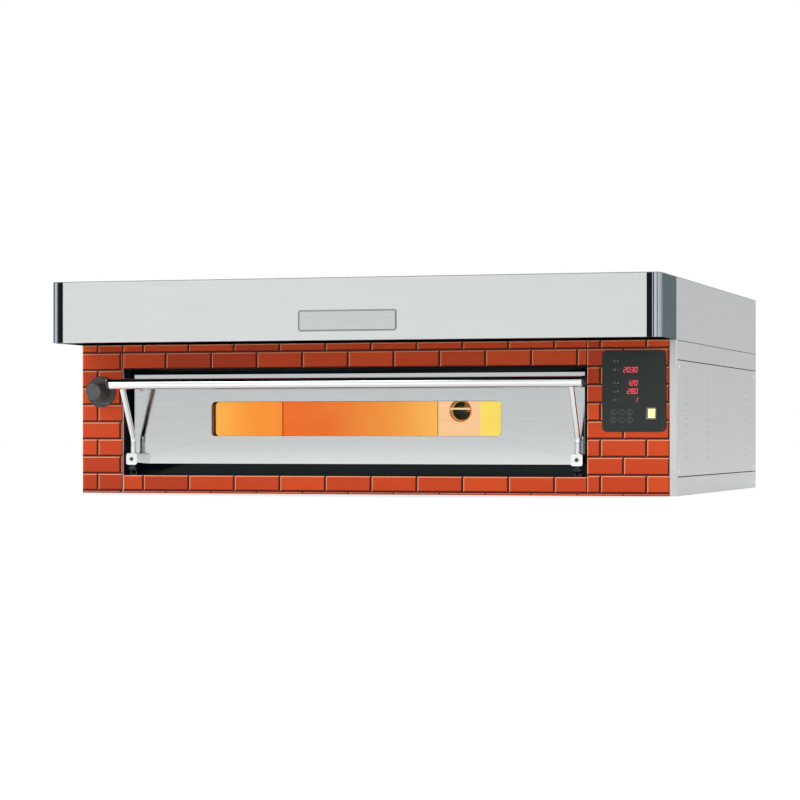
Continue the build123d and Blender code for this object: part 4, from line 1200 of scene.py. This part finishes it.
for name, width in (("side_bands", 0.3),
                    ("hood_top", 0.4), ("hood_sides", 0.4), ("hood_fascia", 0.4),
                    ("corner_trim", 1.0), ("door_surround", 0.5), ("pivot_blocks", 0.7),
                    ("hinge_brackets", 0.4), ("deck_stones", 2.0), ("control_overlay", 0.3),
                    ("switch_bezel", 0.4), ("contactors", 1.0), ("terminal_block", 1.0),
                    ("cable_gland", 0.6), ("mouth_frame", 0.4), ("door_liner", 0.4)):
    finish_cad(name, width * MM)


# ---- floor, light and camera

def floor():
    """Pale floor that runs to the horizon."""
    bm = bmesh.new()
    bmesh.ops.create_grid(bm, x_segments=1, y_segments=1, size=30)
    mesh = bpy.data.meshes.new("studio_floor")
    bm.to_mesh(mesh)
    bm.free()
    ground = bpy.data.objects.new("studio_floor", mesh)
    bpy.context.scene.collection.objects.link(ground)
    s = Shader("floor_paint", (0.86, 0.86, 0.85), 0.8)
    s.tint(s.noise(3.0, 4.0), 0.0, 1.0, (0.85, 0.85, 0.84), (0.88, 0.88, 0.87))
    s.set("Emission Color", (1, 1, 1, 1))
    s.set("Emission Strength", 0.40)
    mesh.materials.append(s.material)


def world():
    """White surroundings with two dark side walls, which polished metal mirrors."""
    scene = bpy.context.scene
    scene.view_settings.view_transform = "Standard"
    scene.world = bpy.data.worlds.new("studio")
    scene.world.use_nodes = True
    n = Nodes(scene.world.node_tree)
    direction = n.add("ShaderNodeTexCoord").outputs["Generated"]
    split = n.add("ShaderNodeSeparateXYZ", {"Vector": direction}).outputs
    turn = n.math("ABSOLUTE", n.math("ARCTAN2", split["X"], n.math("MULTIPLY", split["Y"], -1.0)))
    stops = ((0.0, 0.85), (0.24, 0.85), (0.29, 0.07), (0.44, 0.05), (0.50, 0.76), (1.0, 0.85))
    color = n.ramp(n.math("DIVIDE", turn, math.pi),
                   [(place, (value, value * 1.01, value * 1.02)) for place, value in stops])
    room = n.tree.nodes["Background"]
    n.link(color, room.inputs["Color"])
    blend = n.add("ShaderNodeMixShader", {
        "Fac": n.add("ShaderNodeLightPath").outputs["Is Camera Ray"],
        1: room.outputs["Background"],
        2: n.add("ShaderNodeBackground", {"Color": (1, 1, 1)}).outputs["Background"]})
    n.link(blend.outputs["Shader"], n.tree.nodes["World Output"].inputs["Surface"])


def area_light(name, place, target, size, power):
    """Large soft lamp aimed at a point."""
    light = bpy.data.lights.new(name, "AREA")
    light.shape = "RECTANGLE"
    light.size, light.size_y = size
    light.energy = power
    obj = bpy.data.objects.new(name, light)
    obj.location = place
    direction = Vector(target) - Vector(place)
    obj.rotation_euler = direction.to_track_quat("-Z", "Y").to_euler()
    bpy.context.scene.collection.objects.link(obj)


def camera():
    """Level view from the right of the oven's front."""
    data = bpy.data.cameras.new("camera")
    data.lens = 121.225
    data.sensor_width = 36.0
    data.shift_y = 0.0455
    obj = bpy.data.objects.new("camera", data)
    obj.location = (1.79667, -6.34456, 0.13085)
    obj.rotation_euler = (math.radians(90), 0, 0.28915)
    bpy.context.scene.collection.objects.link(obj)
    bpy.context.scene.camera = obj


floor()
world()
area_light("key", (-2.6, -4.2, 3.2), (0, -0.4, 0.2), (3.0, 2.0), 62)
area_light("fill", (3.6, -2.6, 2.2), (0.4, 0, 0.2), (2.4, 1.8), 27)
area_light("front", (0.2, -5.5, 0.7), (0, 0, 0.25), (3.6, 1.2), 18)
bpy.data.objects["front"].visible_glossy = False
area_light("top", (0, 0.4, 3.6), (0, 0, 0.4), (3.5, 2.5), 34)
camera()
